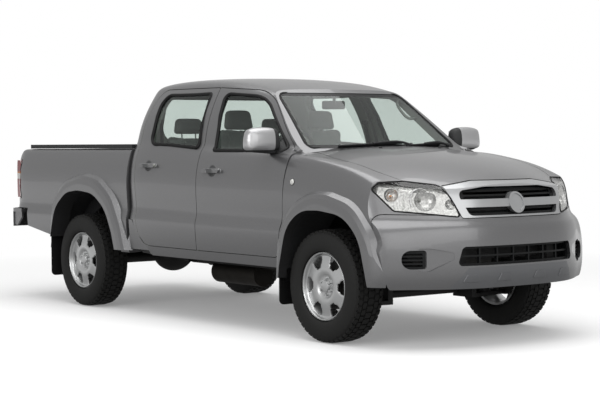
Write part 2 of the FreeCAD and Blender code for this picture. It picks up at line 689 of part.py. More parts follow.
lower_high = lower_low + 2 * lower_gap + SLAT_WALL
for window in slots(-LOWER_HALF, LOWER_HALF, lower_low, lower_high, lower_gap, SLAT_WALL, LOWER_COLUMNS):
    lower_insert = lower_insert.cut(window)
for window in slots(FOG_OPENING[0][0] + SLAT_END, FOG_OPENING[1][0] - SLAT_END, FOG_OPENING[0][1] + SLAT_END,
                    FOG_OPENING[2][1] - SLAT_END, FOG_SLAT_GAP, SLAT_WALL, 1):
    fog_insert = fog_insert.cut(window)
save("grille_insert", largest(grille_insert))
save("lower_grille", largest(lower_insert))
save("fog_inserts", *both(largest(fog_insert)))

# Lamp bodies behind the lenses, each with three round bowls
BOWLS = ((0.700, 0.528, 72.0), (0.868, 0.546, 46.0), (0.552, 0.512, 36.0))
BOWL_LIFT_SHARE = 0.28
lamp_body = front_hull(FRONT_PANEL_WALL + SEAT_GAP).common(nose_hull(LENS_WALL + SEAT_GAP))
lamp_body = lamp_body.cut(nose_hull(LAMP_DEPTH)).common(headlamp_cut)
lamp_body = lamp_body.common(front_hull(LENS_WALL + SEAT_GAP))
FLANGE_LIP = 10.0
FLANGE_TOP = up(0.535)
flange = insert_layer.common(front_prism(HEADLAMP, *NOSE_RUN, PANEL_GAP + FLANGE_LIP))
lamp_body = fused([lamp_body, flange.common(box(*ENDS, *ENDS, 0, FLANGE_TOP))])
for width, height, radius in BOWLS:
    spot = V(across(width), nose_y(across(width), up(height)) - radius * BOWL_LIFT_SHARE, up(height))
    lamp_body = lamp_body.cut(Part.makeSphere(radius, spot))
save("headlamp_housings", *both(largest(lamp_body)))

# Linings of the front wheel arches
LINER_WALL = 5.0
LINER_INNER = 560.0
liner = side_prism(wheel_points(FRONT_ARCH_SHARES, FRONT_AXLE_Y), LINER_INNER, HALF_LENGTH, LINER_WALL)
liner = liner.cut(arch_prism(FRONT_ARCH_SHARES, FRONT_AXLE_Y, 0, HALF_LENGTH))
liner = liner.cut(box(*ENDS, *ENDS, 0, SILL_HEIGHT))
liner = liner.common(front_hull(FRONT_PANEL_WALL + SEAT_GAP)).common(nose_hull(FRONT_PANEL_WALL + SEAT_GAP))
cowl = front_hull(0).cut(front_hull(FRONT_PANEL_WALL))
cowl = cowl.common(box(-COWL_HALF, COWL_HALF, COWL_FRONT, along(0.22), SILL_HEIGHT * 2, 2 * ROOF_HEIGHT))
cowl = largest(cowl.cut(bonnet_clear).cut(screen_clear))
save("cowl_panel", cowl)


# Windscreen, back window and cowl
SCREEN_OUTLINE = front_points((
    (-0.755, 0.706, 0.020), (0.755, 0.706, 0.020), (0.628, 0.926, 0.045), (-0.628, 0.926, 0.045),
))
BACK_OUTLINE = front_points((
    (-0.690, 0.735, 0.060), (0.690, 0.735, 0.060), (0.610, 0.925, 0.060), (-0.610, 0.925, 0.060),
))
SCREEN_WALL = 6.0
screen_cut = front_prism(SCREEN_OUTLINE, *(along(0.0), along(0.40)))
windscreen = screen_solid(GLASS_INSET, SCREEN_WALL).common(front_prism(SCREEN_OUTLINE, along(0.0),
                                                                       along(0.40), -SEAT_GAP))
windscreen = largest(windscreen)
back_cut = front_prism(BACK_OUTLINE, CAB_BACK - 2 * CAB_BACK_WALL, CAB_BACK + OVERRUN)
rear_window = front_prism(BACK_OUTLINE, CAB_BACK - GLASS_INSET - GLASS_WALL, CAB_BACK - GLASS_INSET,
                          -SEAT_GAP)

CAB_FLOOR_TOP = 560.0
cab = cab_outer.cut(box(*ENDS, *ENDS, 0, SILL_HEIGHT))
cab = cab.cut(cab_inner.cut(box(*ENDS, *ENDS, 0, CAB_FLOOR_TOP)))
SILL_INNER = across(0.80)
cab = cab.cut(box(-SILL_INNER, SILL_INNER, *ENDS, 0, CAB_FLOOR_TOP - FLOOR_WALL))
for cutter in (recess, apertures):
    cab = cab.cut(cutter).cut(mirrored(cutter))
fender_zone = side_prism(side_points((
    (-0.100, 0.200, 0.0), (0.147, 0.200, 0.0), (0.147, 0.298, 0.0), (0.132, 0.457, 0.140), (0.119, 0.696,
                                                                                            0.0),
    (0.119, 0.730, 0.0), (-0.100, 0.730, 0.0),
)), *left_side).cut(cab_recess)
for cutter in (fender_zone, mirrored(fender_zone)):
    cab = cab.cut(cutter)
HINGE_HEIGHT = 70.0
HINGE_DEPTH = 45.0
HINGE_SHARES = ((0.140, 0.400), (0.130, 0.560), (0.466, 0.360), (0.466, 0.560))
pad_hull = cab_hull(DOOR_WALL + SEAT_GAP, DOOR_FRAME_WALL + SEAT_GAP, CAB_FRONT, CAB_BACK)
pads = []
for share, height in HINGE_SHARES:
    pad = box(HALF_BODY - DOOR_WALL - PILLAR_WALL, HALF_BODY, along(share), along(share) + HINGE_DEPTH,
              up(height), up(height) + HINGE_HEIGHT)
    pads.append(pad_hull.common(pad))
BRACKET_INNER = 560.0
BRACKET_WIDTH = 50.0
BRACKET_HEIGHT = 110.0
bracket_box = box(BRACKET_INNER, BRACKET_INNER + BRACKET_WIDTH, COWL_FRONT, CAB_FRONT + BULKHEAD_WALL,
                  shoulder(CAB_FRONT) - BRACKET_HEIGHT, ROOF_HEIGHT)
pads.append(front_hull(FRONT_PANEL_WALL + SEAT_GAP).common(bracket_box))
cab = cab.cut(screen_cut).cut(back_cut)
cab = cab.cut(axle_arch).cut(mirrored(axle_arch))
cab = largest(fused([cab] + pads + [mirrored(pad) for pad in pads]))
fender = largest(fender.cut(cab))
save("front_fenders", *both(fender))
liner = largest(liner.cut(cab).cut(lamp_body).cut(bumper).cut(fender))
save("wheelhouse_liners", *both(liner))
save("cab_shell", cab)
save("windscreen", windscreen)
save("rear_window", rear_window)
DOOR_HANDLE_SHARES = (("front", 0.398, 0.620), ("rear", 0.668, 0.637))
HANDLE_LENGTH = 215.0
HANDLE_HEIGHT = 26.0
HANDLE_STAND = 34.0
HANDLE_WALL = 14.0


def handle(share, height):
    """Bar handle on two feet, standing off the door's side."""
    y, z = along(share), up(height)
    skin = HALF_BODY * HANDLE_SKIN_SHARE
    bar = side_prism([(y - HANDLE_LENGTH / 2, z - HANDLE_HEIGHT / 2, HANDLE_HEIGHT / 2),
                      (y + HANDLE_LENGTH / 2, z - HANDLE_HEIGHT / 2, HANDLE_HEIGHT / 2),
                      (y + HANDLE_LENGTH / 2, z + HANDLE_HEIGHT / 2, HANDLE_HEIGHT / 2),
                      (y - HANDLE_LENGTH / 2, z + HANDLE_HEIGHT / 2, HANDLE_HEIGHT / 2)],
                     skin + HANDLE_STAND - HANDLE_WALL, skin + HANDLE_STAND)
    feet = [box(skin - HANDLE_WALL, skin + HANDLE_STAND - HANDLE_WALL / 2,
                y + s * HANDLE_LENGTH * 0.42 - HANDLE_WALL, y + s * HANDLE_LENGTH * 0.42 + HANDLE_WALL,
                z - HANDLE_HEIGHT * 0.35, z + HANDLE_HEIGHT * 0.35) for s in (-1, 1)]
    return [bar] + feet


HANDLE_SKIN_SHARE = 0.975
front_door = fused([front_door] + handle(*DOOR_HANDLE_SHARES[0][1:]))
rear_door = fused([rear_door] + handle(*DOOR_HANDLE_SHARES[1][1:]))
SIDES = (("right", -1), ("left", 1))
for hand, side in SIDES:
    for name, shape in (("door_front_", front_door), ("door_rear_", rear_door),
                        ("glass_front_", front_glass), ("glass_rear_", rear_glass)):
        save(name + hand, shape if side > 0 else mirrored(shape))

# Cargo bed
BED_FRONT = along(0.7660)
BED_BACK = behind(0.917)
BED_END_INSET_SHARES = ((0.0, 0.0), (0.90, 0.0), (0.945, 0.002), (0.975, 0.008), (1.0, 0.022))
BED_STATION_SHARES = (0.0, 0.25, 0.5, 0.75, 0.88, 0.93, 0.96, 0.985, 1.0)
BED_CROWN_SHARE = 1.005
BED_TOP_SHARES = ((0.905, 1.000), (0.860, 1.004), (0.700, 1.005), (0.400, 1.005), (0.000, 1.005))


def bed_hull():
    net = []
    for share in BED_STATION_SHARES:
        y = between(BED_FRONT, BED_BACK, share)
        half = side_row(y, BED_RAIL_HEIGHT)
        half += [(across(w), BED_RAIL_HEIGHT * h) for w, h in BED_TOP_SHARES]
        extra = up(table(BED_END_INSET_SHARES, share))
        moved = [(x - (extra if x > 0 else 0), z) for x, z in half]
        net.append(whole_row([(x, y, z) for x, z in moved]))
    return net_solid([list(column) for column in zip(*net)])


BED_INNER_HALF = across(SIDE_SHARES[-1][0]) - BED_WALL
WHEEL_BOX_HALF = 560.0
WHEEL_BOX_HEIGHT = 210.0
WHEEL_BOX_LENGTH = 1000.0
TAILGATE_HALF = across(0.775)
TAILGATE_LOW = 797.0
TAIL_LAMP_LOW = 827.0
TAIL_LAMP_HIGH = 1150.0
BED_SKIRT_SHARES = (
    (0.760, 0.150, 0.0), (0.760, 0.262, 0.0), (0.800, 0.262, 0.0), (1.118, 0.300, 0.0),
    (1.280, 0.345, 0.0), (1.280, 0.4285, 0.0), (1.500, 0.4285, 0.0), (1.500, 0.150, 0.0),
)
bed_outer = bed_hull()
load_space = box(-BED_INNER_HALF, BED_INNER_HALF, BED_FRONT + BED_WALL, BED_BACK - TAILGATE_WALL - PANEL_GAP,
                 BED_FLOOR_HEIGHT, 2 * BED_RAIL_HEIGHT)
under_space = box(-BED_INNER_HALF, BED_INNER_HALF, BED_FRONT - OVERRUN, BED_BACK + OVERRUN,
                  0, BED_FLOOR_HEIGHT - BED_FLOOR_WALL)
bed = bed_outer.cut(load_space).cut(under_space)
wheel_box = box(WHEEL_BOX_HALF, BED_INNER_HALF + SEAT_GAP, REAR_AXLE_Y - WHEEL_BOX_LENGTH / 2,
                REAR_AXLE_Y + WHEEL_BOX_LENGTH / 2,
                BED_FLOOR_HEIGHT - BED_FLOOR_WALL, BED_FLOOR_HEIGHT + WHEEL_BOX_HEIGHT)
WHEEL_BOX_WALL = 30.0
wheel_space = rod(V(WHEEL_BOX_HALF + WHEEL_BOX_WALL, REAR_AXLE_Y, TYRE_RADIUS), V(HALF_LENGTH, REAR_AXLE_Y,
                                                                                  TYRE_RADIUS),
                  BED_FLOOR_HEIGHT + WHEEL_BOX_HEIGHT - WHEEL_BOX_WALL - TYRE_RADIUS)
wheel_space = wheel_space.common(box(0, HALF_LENGTH, REAR_AXLE_Y - WHEEL_BOX_LENGTH / 2 + WHEEL_BOX_WALL,
                                     REAR_AXLE_Y + WHEEL_BOX_LENGTH / 2 - WHEEL_BOX_WALL, 0, 2 * BED_RAIL_HEIGHT))
rear_arch = arch_prism(REAR_ARCH_SHARES, REAR_AXLE_Y, WHEEL_BOX_HALF + WHEEL_BOX_WALL, HALF_LENGTH)
wheel_space = wheel_space.common(box(0, BED_INNER_HALF, *ENDS, 0, 2 * BED_RAIL_HEIGHT)).fuse(rear_arch)
rear_flare = largest(flare(REAR_FLARE_SHARES, REAR_ARCH_SHARES, REAR_AXLE_Y, FLARE_SINK, FLARE_LIP,
                           REAR_FLARE_LOW))
tailgate_space = box(-TAILGATE_HALF - PANEL_GAP, TAILGATE_HALF + PANEL_GAP,
                     BED_BACK - TAILGATE_WALL - PANEL_GAP - SEAT_GAP, BED_BACK + OVERRUN, 0, 2 * BED_RAIL_HEIGHT)
bed = bed.fuse(wheel_box).fuse(mirrored(wheel_box))
bed = bed.cut(wheel_space).cut(mirrored(wheel_space))
bed = bed.cut(tailgate_space).cut(side_prism(side_points(BED_SKIRT_SHARES), *ENDS))
corner_cut = side_prism([
    (BED_BACK - up(0.105), BED_RAIL_HEIGHT + OVERRUN, 0), (BED_BACK - up(0.105), BED_RAIL_HEIGHT + up(0.01),
                                                           0),
    (BED_BACK - up(0.045), BED_RAIL_HEIGHT - up(0.004), up(0.06)), (BED_BACK + up(0.01), TAIL_LAMP_HIGH, 0),
    (BED_BACK + OVERRUN, TAIL_LAMP_HIGH, 0), (BED_BACK + OVERRUN, BED_RAIL_HEIGHT + OVERRUN, 0),
], *ENDS)
bed = bed.cut(corner_cut)
TAIL_LAMP = [
    (BED_BACK - up(0.060), TAIL_LAMP_LOW, up(0.01)), (BED_BACK + OVERRUN, TAIL_LAMP_LOW, 0),
    (BED_BACK + OVERRUN, TAIL_LAMP_HIGH, 0), (BED_BACK - up(0.062), TAIL_LAMP_HIGH, up(0.012)),
    (BED_BACK - up(0.040), between(TAIL_LAMP_LOW, TAIL_LAMP_HIGH, 0.5), up(0.1)),
]
lamp_zone = side_prism(TAIL_LAMP, TAILGATE_HALF + PANEL_GAP, HALF_LENGTH)
tail_lamp = largest(bed.common(lamp_zone))
lamp_clear = side_prism(TAIL_LAMP, 0, HALF_LENGTH, SEAT_GAP)
bed = bed.cut(lamp_clear).cut(mirrored(lamp_clear))
flare_part = rear_flare.cut(tailgate_space)
flare_part = largest(flare_part.cut(side_prism(side_points(BED_SKIRT_SHARES), *ENDS).common(
    box(*ENDS, REAR_AXLE_Y + TYRE_RADIUS / 2, HALF_LENGTH, 0, ROOF_HEIGHT))))
LUG_DEPTH = 24.0
RIB_COUNT = 9
RIB_PITCH = 120.0
RIB_WIDTH = 50.0
RIB_HEIGHT = 7.0
lug = box(TAILGATE_HALF + SEAT_GAP, TAILGATE_HALF + 3 * PANEL_GAP, BED_BACK - TAILGATE_WALL - 2 * PANEL_GAP,
          BED_BACK - TAILGATE_WALL + LUG_DEPTH, TAILGATE_LOW, TAILGATE_LOW + LUG_DEPTH)
ribs = []
for k in range(RIB_COUNT):
    x = (k - (RIB_COUNT - 1) / 2) * RIB_PITCH
    ribs.append(box(x - RIB_WIDTH / 2, x + RIB_WIDTH / 2,
                    BED_FRONT + BED_WALL + RIB_WIDTH, BED_BACK - TAILGATE_WALL - 2 * RIB_WIDTH,
                    BED_FLOOR_HEIGHT - RIB_HEIGHT, BED_FLOOR_HEIGHT + RIB_HEIGHT))
bed = fused([bed, lug, mirrored(lug)] + both(flare_part) + ribs)
save("cargo_bed", bed)
save("tail_lamps", *both(tail_lamp))

# Tailgate
tailgate = box(-TAILGATE_HALF, TAILGATE_HALF, BED_BACK - TAILGATE_WALL, BED_BACK, TAILGATE_LOW,
               BED_RAIL_HEIGHT)
TAILGATE_HANDLE_HALF = 90.0
TAILGATE_HANDLE_HEIGHT = 75.0
TAILGATE_HANDLE_DEPTH = 22.0
handle_z = between(TAILGATE_LOW, BED_RAIL_HEIGHT, 0.80)
tailgate = tailgate.cut(box(-TAILGATE_HANDLE_HALF, TAILGATE_HANDLE_HALF, BED_BACK - TAILGATE_HANDLE_DEPTH,
                            BED_BACK + OVERRUN,
                            handle_z - TAILGATE_HANDLE_HEIGHT / 2, handle_z + TAILGATE_HANDLE_HEIGHT / 2))
lever = box(-TAILGATE_HANDLE_HALF * 0.9, TAILGATE_HANDLE_HALF * 0.9, BED_BACK - TAILGATE_HANDLE_DEPTH,
            BED_BACK - SEAT_GAP,
            handle_z - TAILGATE_HANDLE_HEIGHT * 0.1, handle_z + TAILGATE_HANDLE_HEIGHT * 0.42)
save("tailgate", tailgate)
save("tailgate_handle", lever)


# Ladder frame
RAIL_WIDTH = 80.0
RAIL_DEPTH = 125.0
RAIL_OUTER = 430.0
RAIL_LOW = 385.0
RAIL_FRONT_RISE = 135.0
RAIL_REAR_RISE = 195.0
CROSS_DEPTH = 80.0
CROSS_WIDTH = 90.0
FRAME_FRONT = ahead(0.840)
FRAME_BACK = behind(0.900)


def rail_points(depth):
    low = [
        (FRAME_FRONT, RAIL_LOW + RAIL_FRONT_RISE, 0.0), (along(0.025), RAIL_LOW + RAIL_FRONT_RISE, up(0.10)),
        (along(0.105), RAIL_LOW, up(0.10)), (along(0.780), RAIL_LOW, up(0.20)),
        (along(0.900), RAIL_LOW + RAIL_REAR_RISE, up(0.20)), (along(1.120), RAIL_LOW + RAIL_REAR_RISE,
                                                              up(0.20)),
        (along(1.200), RAIL_LOW + RAIL_FRONT_RISE, up(0.15)), (FRAME_BACK, RAIL_LOW + RAIL_FRONT_RISE, 0.0),
    ]
    return low + [(y, z + depth, r) for y, z, r in reversed(low)]


def rail_low_at(share):
    places = ((0.025, RAIL_FRONT_RISE), (0.105, 0), (0.780, 0), (0.900, RAIL_REAR_RISE),
              (1.120, RAIL_REAR_RISE), (1.200, RAIL_FRONT_RISE), (1.5, RAIL_FRONT_RISE))
    return RAIL_LOW + table(((-0.4, RAIL_FRONT_RISE),) + places, share)


CROSS_SHARES = (-0.215, -0.085, 0.150, 0.300, 0.450, 0.600, 0.740, 0.895, 1.010, 1.125, 1.230, 1.330)
rail = side_prism(rail_points(RAIL_DEPTH), RAIL_OUTER - RAIL_WIDTH, RAIL_OUTER)
frame = [rail, mirrored(rail)]
for share in CROSS_SHARES:
    middle = rail_low_at(share) + RAIL_DEPTH / 2
    y = along(share)
    frame.append(box(-RAIL_OUTER + RAIL_WIDTH / 2, RAIL_OUTER - RAIL_WIDTH / 2, y - CROSS_WIDTH / 2,
                     y + CROSS_WIDTH / 2,
                     middle - CROSS_DEPTH / 2, middle + CROSS_DEPTH / 2))
# Body mounts stand on outriggers and carry the cab sills and the bed floor
MOUNT_RADIUS = 35.0
MOUNT_SHARES = (0.200, 0.690)
BED_MOUNT_SHARES = (0.830, 1.160)
for share in MOUNT_SHARES:
    y = along(share)
    top = CAB_FLOOR_TOP - FLOOR_WALL
    low = rail_low_at(share)
    for side in (1, -1):
        frame.append(box(min(side * RAIL_OUTER, side * (RAIL_OUTER + 2 * MOUNT_RADIUS)) - SEAT_GAP,
                         max(side * RAIL_OUTER, side * (RAIL_OUTER + 2 * MOUNT_RADIUS)) + SEAT_GAP,
                         y - MOUNT_RADIUS, y + MOUNT_RADIUS, low, low + RAIL_DEPTH / 2))
        frame.append(rod(V(side * (RAIL_OUTER + MOUNT_RADIUS), y, low + RAIL_DEPTH / 4),
                         V(side * (RAIL_OUTER + MOUNT_RADIUS), y, top - SEAT_GAP), MOUNT_RADIUS * 0.8))
for share in BED_MOUNT_SHARES:
    y = along(share)
    for side in (1, -1):
        frame.append(rod(V(side * (RAIL_OUTER - RAIL_WIDTH / 2), y, rail_low_at(share) + RAIL_DEPTH / 2),
                         V(side * (RAIL_OUTER - RAIL_WIDTH / 2), y,
                           BED_FLOOR_HEIGHT - BED_FLOOR_WALL - SEAT_GAP),
                         MOUNT_RADIUS * 0.8))
# Bumper brackets
frame = fused(frame)
save("ladder_frame", frame)

# Wheels
TYRE_SHARES = (
    (-0.36, 0.000), (-0.49, 0.230), (-0.50, 0.480), (-0.43, 0.840), (-0.33, 1.000),
    (0.33, 1.000), (0.43, 0.840), (0.50, 0.480), (0.49, 0.230), (0.36, 0.000),
)
RIM_BARREL_WALL = 12.0
RIM_FACE_DEPTH = 34.0
RIM_DISH = 22.0
HUB_RADIUS = 66.0


def revolve(points, axis_shift):
    """Solid of revolution about the wheel's axis, from (side, radius) corners."""
    corners = [V(x, 0, r) for x, r in points]
    wire = Part.makePolygon(corners + corners[:1])
    solid = outward(Part.Face(wire).revolve(V(0, 0, 0), V(1, 0, 0), FULL_TURN_DEG))
    return solid.translate(axis_shift)


FULL_TURN_DEG = 360.0


def tyre():
    points = [(w * TYRE_WIDTH, RIM_RADIUS + SEAT_GAP + h * (TYRE_RADIUS - RIM_RADIUS - SEAT_GAP)) for w,
              h in TYRE_SHARES]
    return revolve(points, V(0, 0, 0))


RIM_WELL = 30.0


def rim_profile():
    """Barrel section: lips, bead seats and drop well, from the inner lip to the outer."""
    half = RIM_WIDTH / 2
    outer = [
        (-half, RIM_RADIUS), (-half * 0.86, RIM_RADIUS), (-half * 0.80, RIM_RADIUS - RIM_BARREL_WALL),
        (-half * 0.30, RIM_RADIUS - RIM_WELL), (half * 0.30, RIM_RADIUS - RIM_WELL),
        (half * 0.80, RIM_RADIUS - RIM_BARREL_WALL), (half * 0.86, RIM_RADIUS), (half, RIM_RADIUS),
    ]
    inner = [(x, r - RIM_BARREL_WALL) for x, r in reversed(outer)]
    return outer + inner


SPOKE_ROOT_HALF = 34.0
SPOKE_TIP_HALF = 46.0
MOUNT_FACE = 20.0
WHEEL_CAP_RADIUS = 40.0
WHEEL_CAP_DEPTH = 10.0
NUT_RADIUS = 11.0
NUT_CIRCLE_RADIUS = 52.0
NUT_DEPTH = 14.0


def rim():
    half = RIM_WIDTH / 2
    face = half - RIM_DISH
    barrel = revolve(rim_profile(), V(0, 0, 0))
    hub = rod(V(MOUNT_FACE, 0, 0), V(face, 0, 0), HUB_RADIUS)
    reach = RIM_RADIUS - RIM_BARREL_WALL * 0.8
    back = face - RIM_FACE_DEPTH
    spokes = []
    for k in range(SPOKE_COUNT):
        corners = [
            V(0, -SPOKE_ROOT_HALF, HUB_RADIUS * 0.7), V(0, -SPOKE_TIP_HALF, reach),
            V(0, SPOKE_TIP_HALF, reach), V(0, SPOKE_ROOT_HALF, HUB_RADIUS * 0.7),
        ]
        foot = Part.makePolygon(corners + corners[:1])
        spoke = outward(Part.Face(foot).extrude(V(RIM_FACE_DEPTH, 0, 0)))
        spoke = spoke.translate(V(back, 0, 0))
        spokes.append(spoke.rotate(V(0, 0, 0), V(1, 0, 0), FULL_TURN_DEG / SPOKE_COUNT * (k + 0.5)))
    wheel = fused([barrel, hub] + spokes)
    cap = rod(V(face, 0, 0), V(face + WHEEL_CAP_DEPTH, 0, 0), WHEEL_CAP_RADIUS)
    nuts = []
    for k in range(WHEEL_NUT_COUNT):
        turn = math.radians(FULL_TURN_DEG / WHEEL_NUT_COUNT * k)
        y, z = NUT_CIRCLE_RADIUS * math.sin(turn), NUT_CIRCLE_RADIUS * math.cos(turn)
        nuts.append(rod(V(face, y, z), V(face + NUT_DEPTH, y, z), NUT_RADIUS))
    return largest(fused([wheel, cap] + nuts))


AXLE_ENDS = SIDES


def at_wheel(shape, side, axle):
    placed = shape if side > 0 else mirrored(shape)
    return placed.translated(V(side * HALF_TRACK, axle, TYRE_RADIUS))


tyre_body = tyre()
rim_body = rim()
for name, axle in (("front", FRONT_AXLE_Y), ("rear", REAR_AXLE_Y)):
    for hand, side in AXLE_ENDS:
        save("tyre_" + name + "_" + hand, at_wheel(tyre_body, side, axle))
        save("rim_" + name + "_" + hand, at_wheel(rim_body, side, axle))

# Front knuckles: brake disc, hub and upright about the kingpin line
DISC_RADIUS = 150.0
DISC_WALL = 24.0
HUB_FLANGE_RADIUS = 70.0
KINGPIN_LOW = 115.0
KINGPIN_HIGH = 130.0
BALL_RADIUS = 24.0
UPRIGHT_HALF = 32.0


def knuckle():
    face = MOUNT_FACE - SEAT_GAP
    disc = rod(V(face - DISC_WALL, 0, 0), V(face, 0, 0), DISC_RADIUS)
    hub = rod(V(-KINGPIN_OFFSET - UPRIGHT_HALF, 0, 0), V(face, 0, 0), HUB_FLANGE_RADIUS * 0.7)
    pin = rod(V(-KINGPIN_OFFSET, 0, -KINGPIN_LOW), V(-KINGPIN_OFFSET, 0, KINGPIN_HIGH), UPRIGHT_HALF * 0.7)
    plate = box(-KINGPIN_OFFSET - UPRIGHT_HALF, -KINGPIN_OFFSET + UPRIGHT_HALF, -UPRIGHT_HALF, UPRIGHT_HALF,
                -KINGPIN_LOW * 0.7, KINGPIN_HIGH * 0.7)
    arm = box(-KINGPIN_OFFSET - UPRIGHT_HALF * 0.6, -KINGPIN_OFFSET + UPRIGHT_HALF * 0.6,
              0, DISC_RADIUS * 0.85, -KINGPIN_LOW * 0.6, -KINGPIN_LOW * 0.35)
    caliper = box(face - DISC_WALL * 1.9, face - DISC_WALL - SEAT_GAP, -DISC_RADIUS * 1.02,
                  -DISC_RADIUS * 0.5,
                  -DISC_RADIUS * 0.45, DISC_RADIUS * 0.45)
    bridge = box(-KINGPIN_OFFSET, face - DISC_WALL * 1.2, -DISC_RADIUS * 0.8, 0,
                 -UPRIGHT_HALF * 0.6, UPRIGHT_HALF * 0.6)
    return fused([disc, hub, pin, plate, arm, caliper, bridge])


knuckle_body = knuckle()
for hand, side in AXLE_ENDS:
    save("knuckle_" + hand, at_wheel(knuckle_body, side, FRONT_AXLE_Y))

# Front suspension: two arms a side, spring strut and steering rack
ARM_WALL = 26.0
ARM_HALF = 95.0
ARM_TIP_HALF = 34.0
STRUT_RADIUS = 52.0
STRUT_TOP = 800.0
KINGPIN_X = HALF_TRACK - KINGPIN_OFFSET
RACK_RADIUS = 28.0
RACK_SETBACK = 65.0


def wishbone(z):
    inner = RAIL_OUTER - RAIL_WIDTH / 2
    corners = [V(inner, FRONT_AXLE_Y - ARM_HALF, z), V(KINGPIN_X + ARM_TIP_HALF,
                                                       FRONT_AXLE_Y - ARM_TIP_HALF, z),
               V(KINGPIN_X + ARM_TIP_HALF, FRONT_AXLE_Y + ARM_TIP_HALF, z), V(inner,
                                                                              FRONT_AXLE_Y + ARM_HALF, z)]
    return outward(Part.Face(Part.makePolygon(corners + corners[:1])).extrude(V(0, 0, ARM_WALL)))


low_arm = wishbone(TYRE_RADIUS - KINGPIN_LOW - SEAT_GAP - ARM_WALL)
high_arm = wishbone(TYRE_RADIUS + KINGPIN_HIGH + SEAT_GAP)
LOW_ARM_TOP = TYRE_RADIUS - KINGPIN_LOW - SEAT_GAP
hanger = box(RAIL_OUTER - RAIL_WIDTH, RAIL_OUTER - RAIL_WIDTH / 2 + SEAT_GAP, FRONT_AXLE_Y - ARM_HALF,
             FRONT_AXLE_Y + ARM_HALF,
             LOW_ARM_TOP - ARM_WALL, RAIL_LOW + RAIL_FRONT_RISE - SEAT_GAP)
strut_x = (RAIL_OUTER + KINGPIN_X) / 2 - STRUT_RADIUS * 0.4
high_arm = high_arm.cut(rod(V(strut_x, FRONT_AXLE_Y, 0), V(strut_x, FRONT_AXLE_Y, ROOF_HEIGHT),
                            STRUT_RADIUS + PANEL_GAP))
strut = rod(V(strut_x, FRONT_AXLE_Y, LOW_ARM_TOP - SEAT_GAP), V(strut_x, FRONT_AXLE_Y, STRUT_TOP),
            STRUT_RADIUS)
tower = box(RAIL_OUTER, strut_x + STRUT_RADIUS, FRONT_AXLE_Y - STRUT_RADIUS, FRONT_AXLE_Y + STRUT_RADIUS,
            STRUT_TOP - ARM_WALL, STRUT_TOP)
tower_foot = box(RAIL_OUTER - RAIL_WIDTH, RAIL_OUTER, FRONT_AXLE_Y - STRUT_RADIUS,
                 FRONT_AXLE_Y + STRUT_RADIUS,
                 RAIL_LOW + RAIL_FRONT_RISE + RAIL_DEPTH + SEAT_GAP, STRUT_TOP)
low_group = fused([low_arm, hanger, strut, tower, tower_foot])
rack_y = FRONT_AXLE_Y + RACK_SETBACK
rack = rod(V(-RAIL_OUTER + RAIL_WIDTH + SEAT_GAP, rack_y, LOW_ARM_TOP + BALL_RADIUS),
           V(RAIL_OUTER - RAIL_WIDTH - SEAT_GAP, rack_y, LOW_ARM_TOP + BALL_RADIUS), RACK_RADIUS)
low_group = largest(low_group.cut(frame))
high_arm = largest(high_arm.cut(frame))
save("front_suspension", *both(low_group), *both(high_arm), rack)

# Rear axle, brake drums and leaf springs
AXLE_TUBE_RADIUS = 42.0
DIFF_RADIUS = 130.0
DRUM_RADIUS = 150.0
DRUM_WALL = 70.0
axle_ends = V(HALF_TRACK + MOUNT_FACE - SEAT_GAP, REAR_AXLE_Y, TYRE_RADIUS)
drum_start = V(axle_ends.x - DRUM_WALL, REAR_AXLE_Y, TYRE_RADIUS)
DIFF_HALF_LENGTH = 165.0


def axle_point(x, radius):
    return V(x, REAR_AXLE_Y, TYRE_RADIUS + radius)


drum_end = axle_ends.x
tube_end = drum_start.x
axle_half = [axle_point(-DIFF_HALF_LENGTH, AXLE_TUBE_RADIUS), axle_point(-tube_end, AXLE_TUBE_RADIUS),
             axle_point(-tube_end, DRUM_RADIUS), axle_point(-drum_end, DRUM_RADIUS), axle_point(-drum_end, 0),
             axle_point(drum_end, 0), axle_point(drum_end, DRUM_RADIUS), axle_point(tube_end, DRUM_RADIUS),
             axle_point(tube_end, AXLE_TUBE_RADIUS), axle_point(DIFF_HALF_LENGTH, AXLE_TUBE_RADIUS)]
diff_arc = Part.Arc(axle_half[-1], axle_point(0, DIFF_RADIUS), axle_half[0]).toShape()
axle_wire = Part.Wire(Part.makePolygon(axle_half).Edges + [diff_arc])
rear_axle = outward(Part.Face(axle_wire).revolve(axle_point(0, 0), V(1, 0, 0), 360))
save("rear_axle", rear_axle)
SPRING_WIDTH = 60.0
SPRING_WALL = 30.0
SPRING_X = 520.0
SPRING_RUN = 640.0
SPRING_DROP = 95.0


def leaf_spring():
    seat = TYRE_RADIUS + AXLE_TUBE_RADIUS + SEAT_GAP
    y0, y1 = REAR_AXLE_Y - SPRING_RUN, REAR_AXLE_Y + SPRING_RUN
    low = Part.Arc(V(SPRING_X, y0, seat + SPRING_DROP), V(SPRING_X, REAR_AXLE_Y, seat), V(SPRING_X, y1,
                                                                                          seat + SPRING_DROP))
    high = Part.Arc(V(SPRING_X, y1, seat + SPRING_DROP + SPRING_WALL), V(SPRING_X, REAR_AXLE_Y,
                                                                         seat + SPRING_WALL),
                    V(SPRING_X, y0, seat + SPRING_DROP + SPRING_WALL))
    ends = [Part.makeLine(low.EndPoint, high.StartPoint), Part.makeLine(high.EndPoint, low.StartPoint)]
    face = Part.Face(Part.Wire([low.toShape(), ends[0], high.toShape(), ends[1]]))
    leaf = outward(face.extrude(V(SPRING_WIDTH, 0, 0)))
    eyes = []
    for y in (y0, y1):
        eyes.append(box(RAIL_OUTER + SEAT_GAP, SPRING_X + SPRING_WIDTH, y - SPRING_WIDTH / 2,
                        y + SPRING_WIDTH / 2,
                        seat + SPRING_DROP - SPRING_WALL / 2, seat + SPRING_DROP + SPRING_WALL * 1.5))
    return fused([leaf] + eyes)


save("leaf_springs", *both(leaf_spring()))

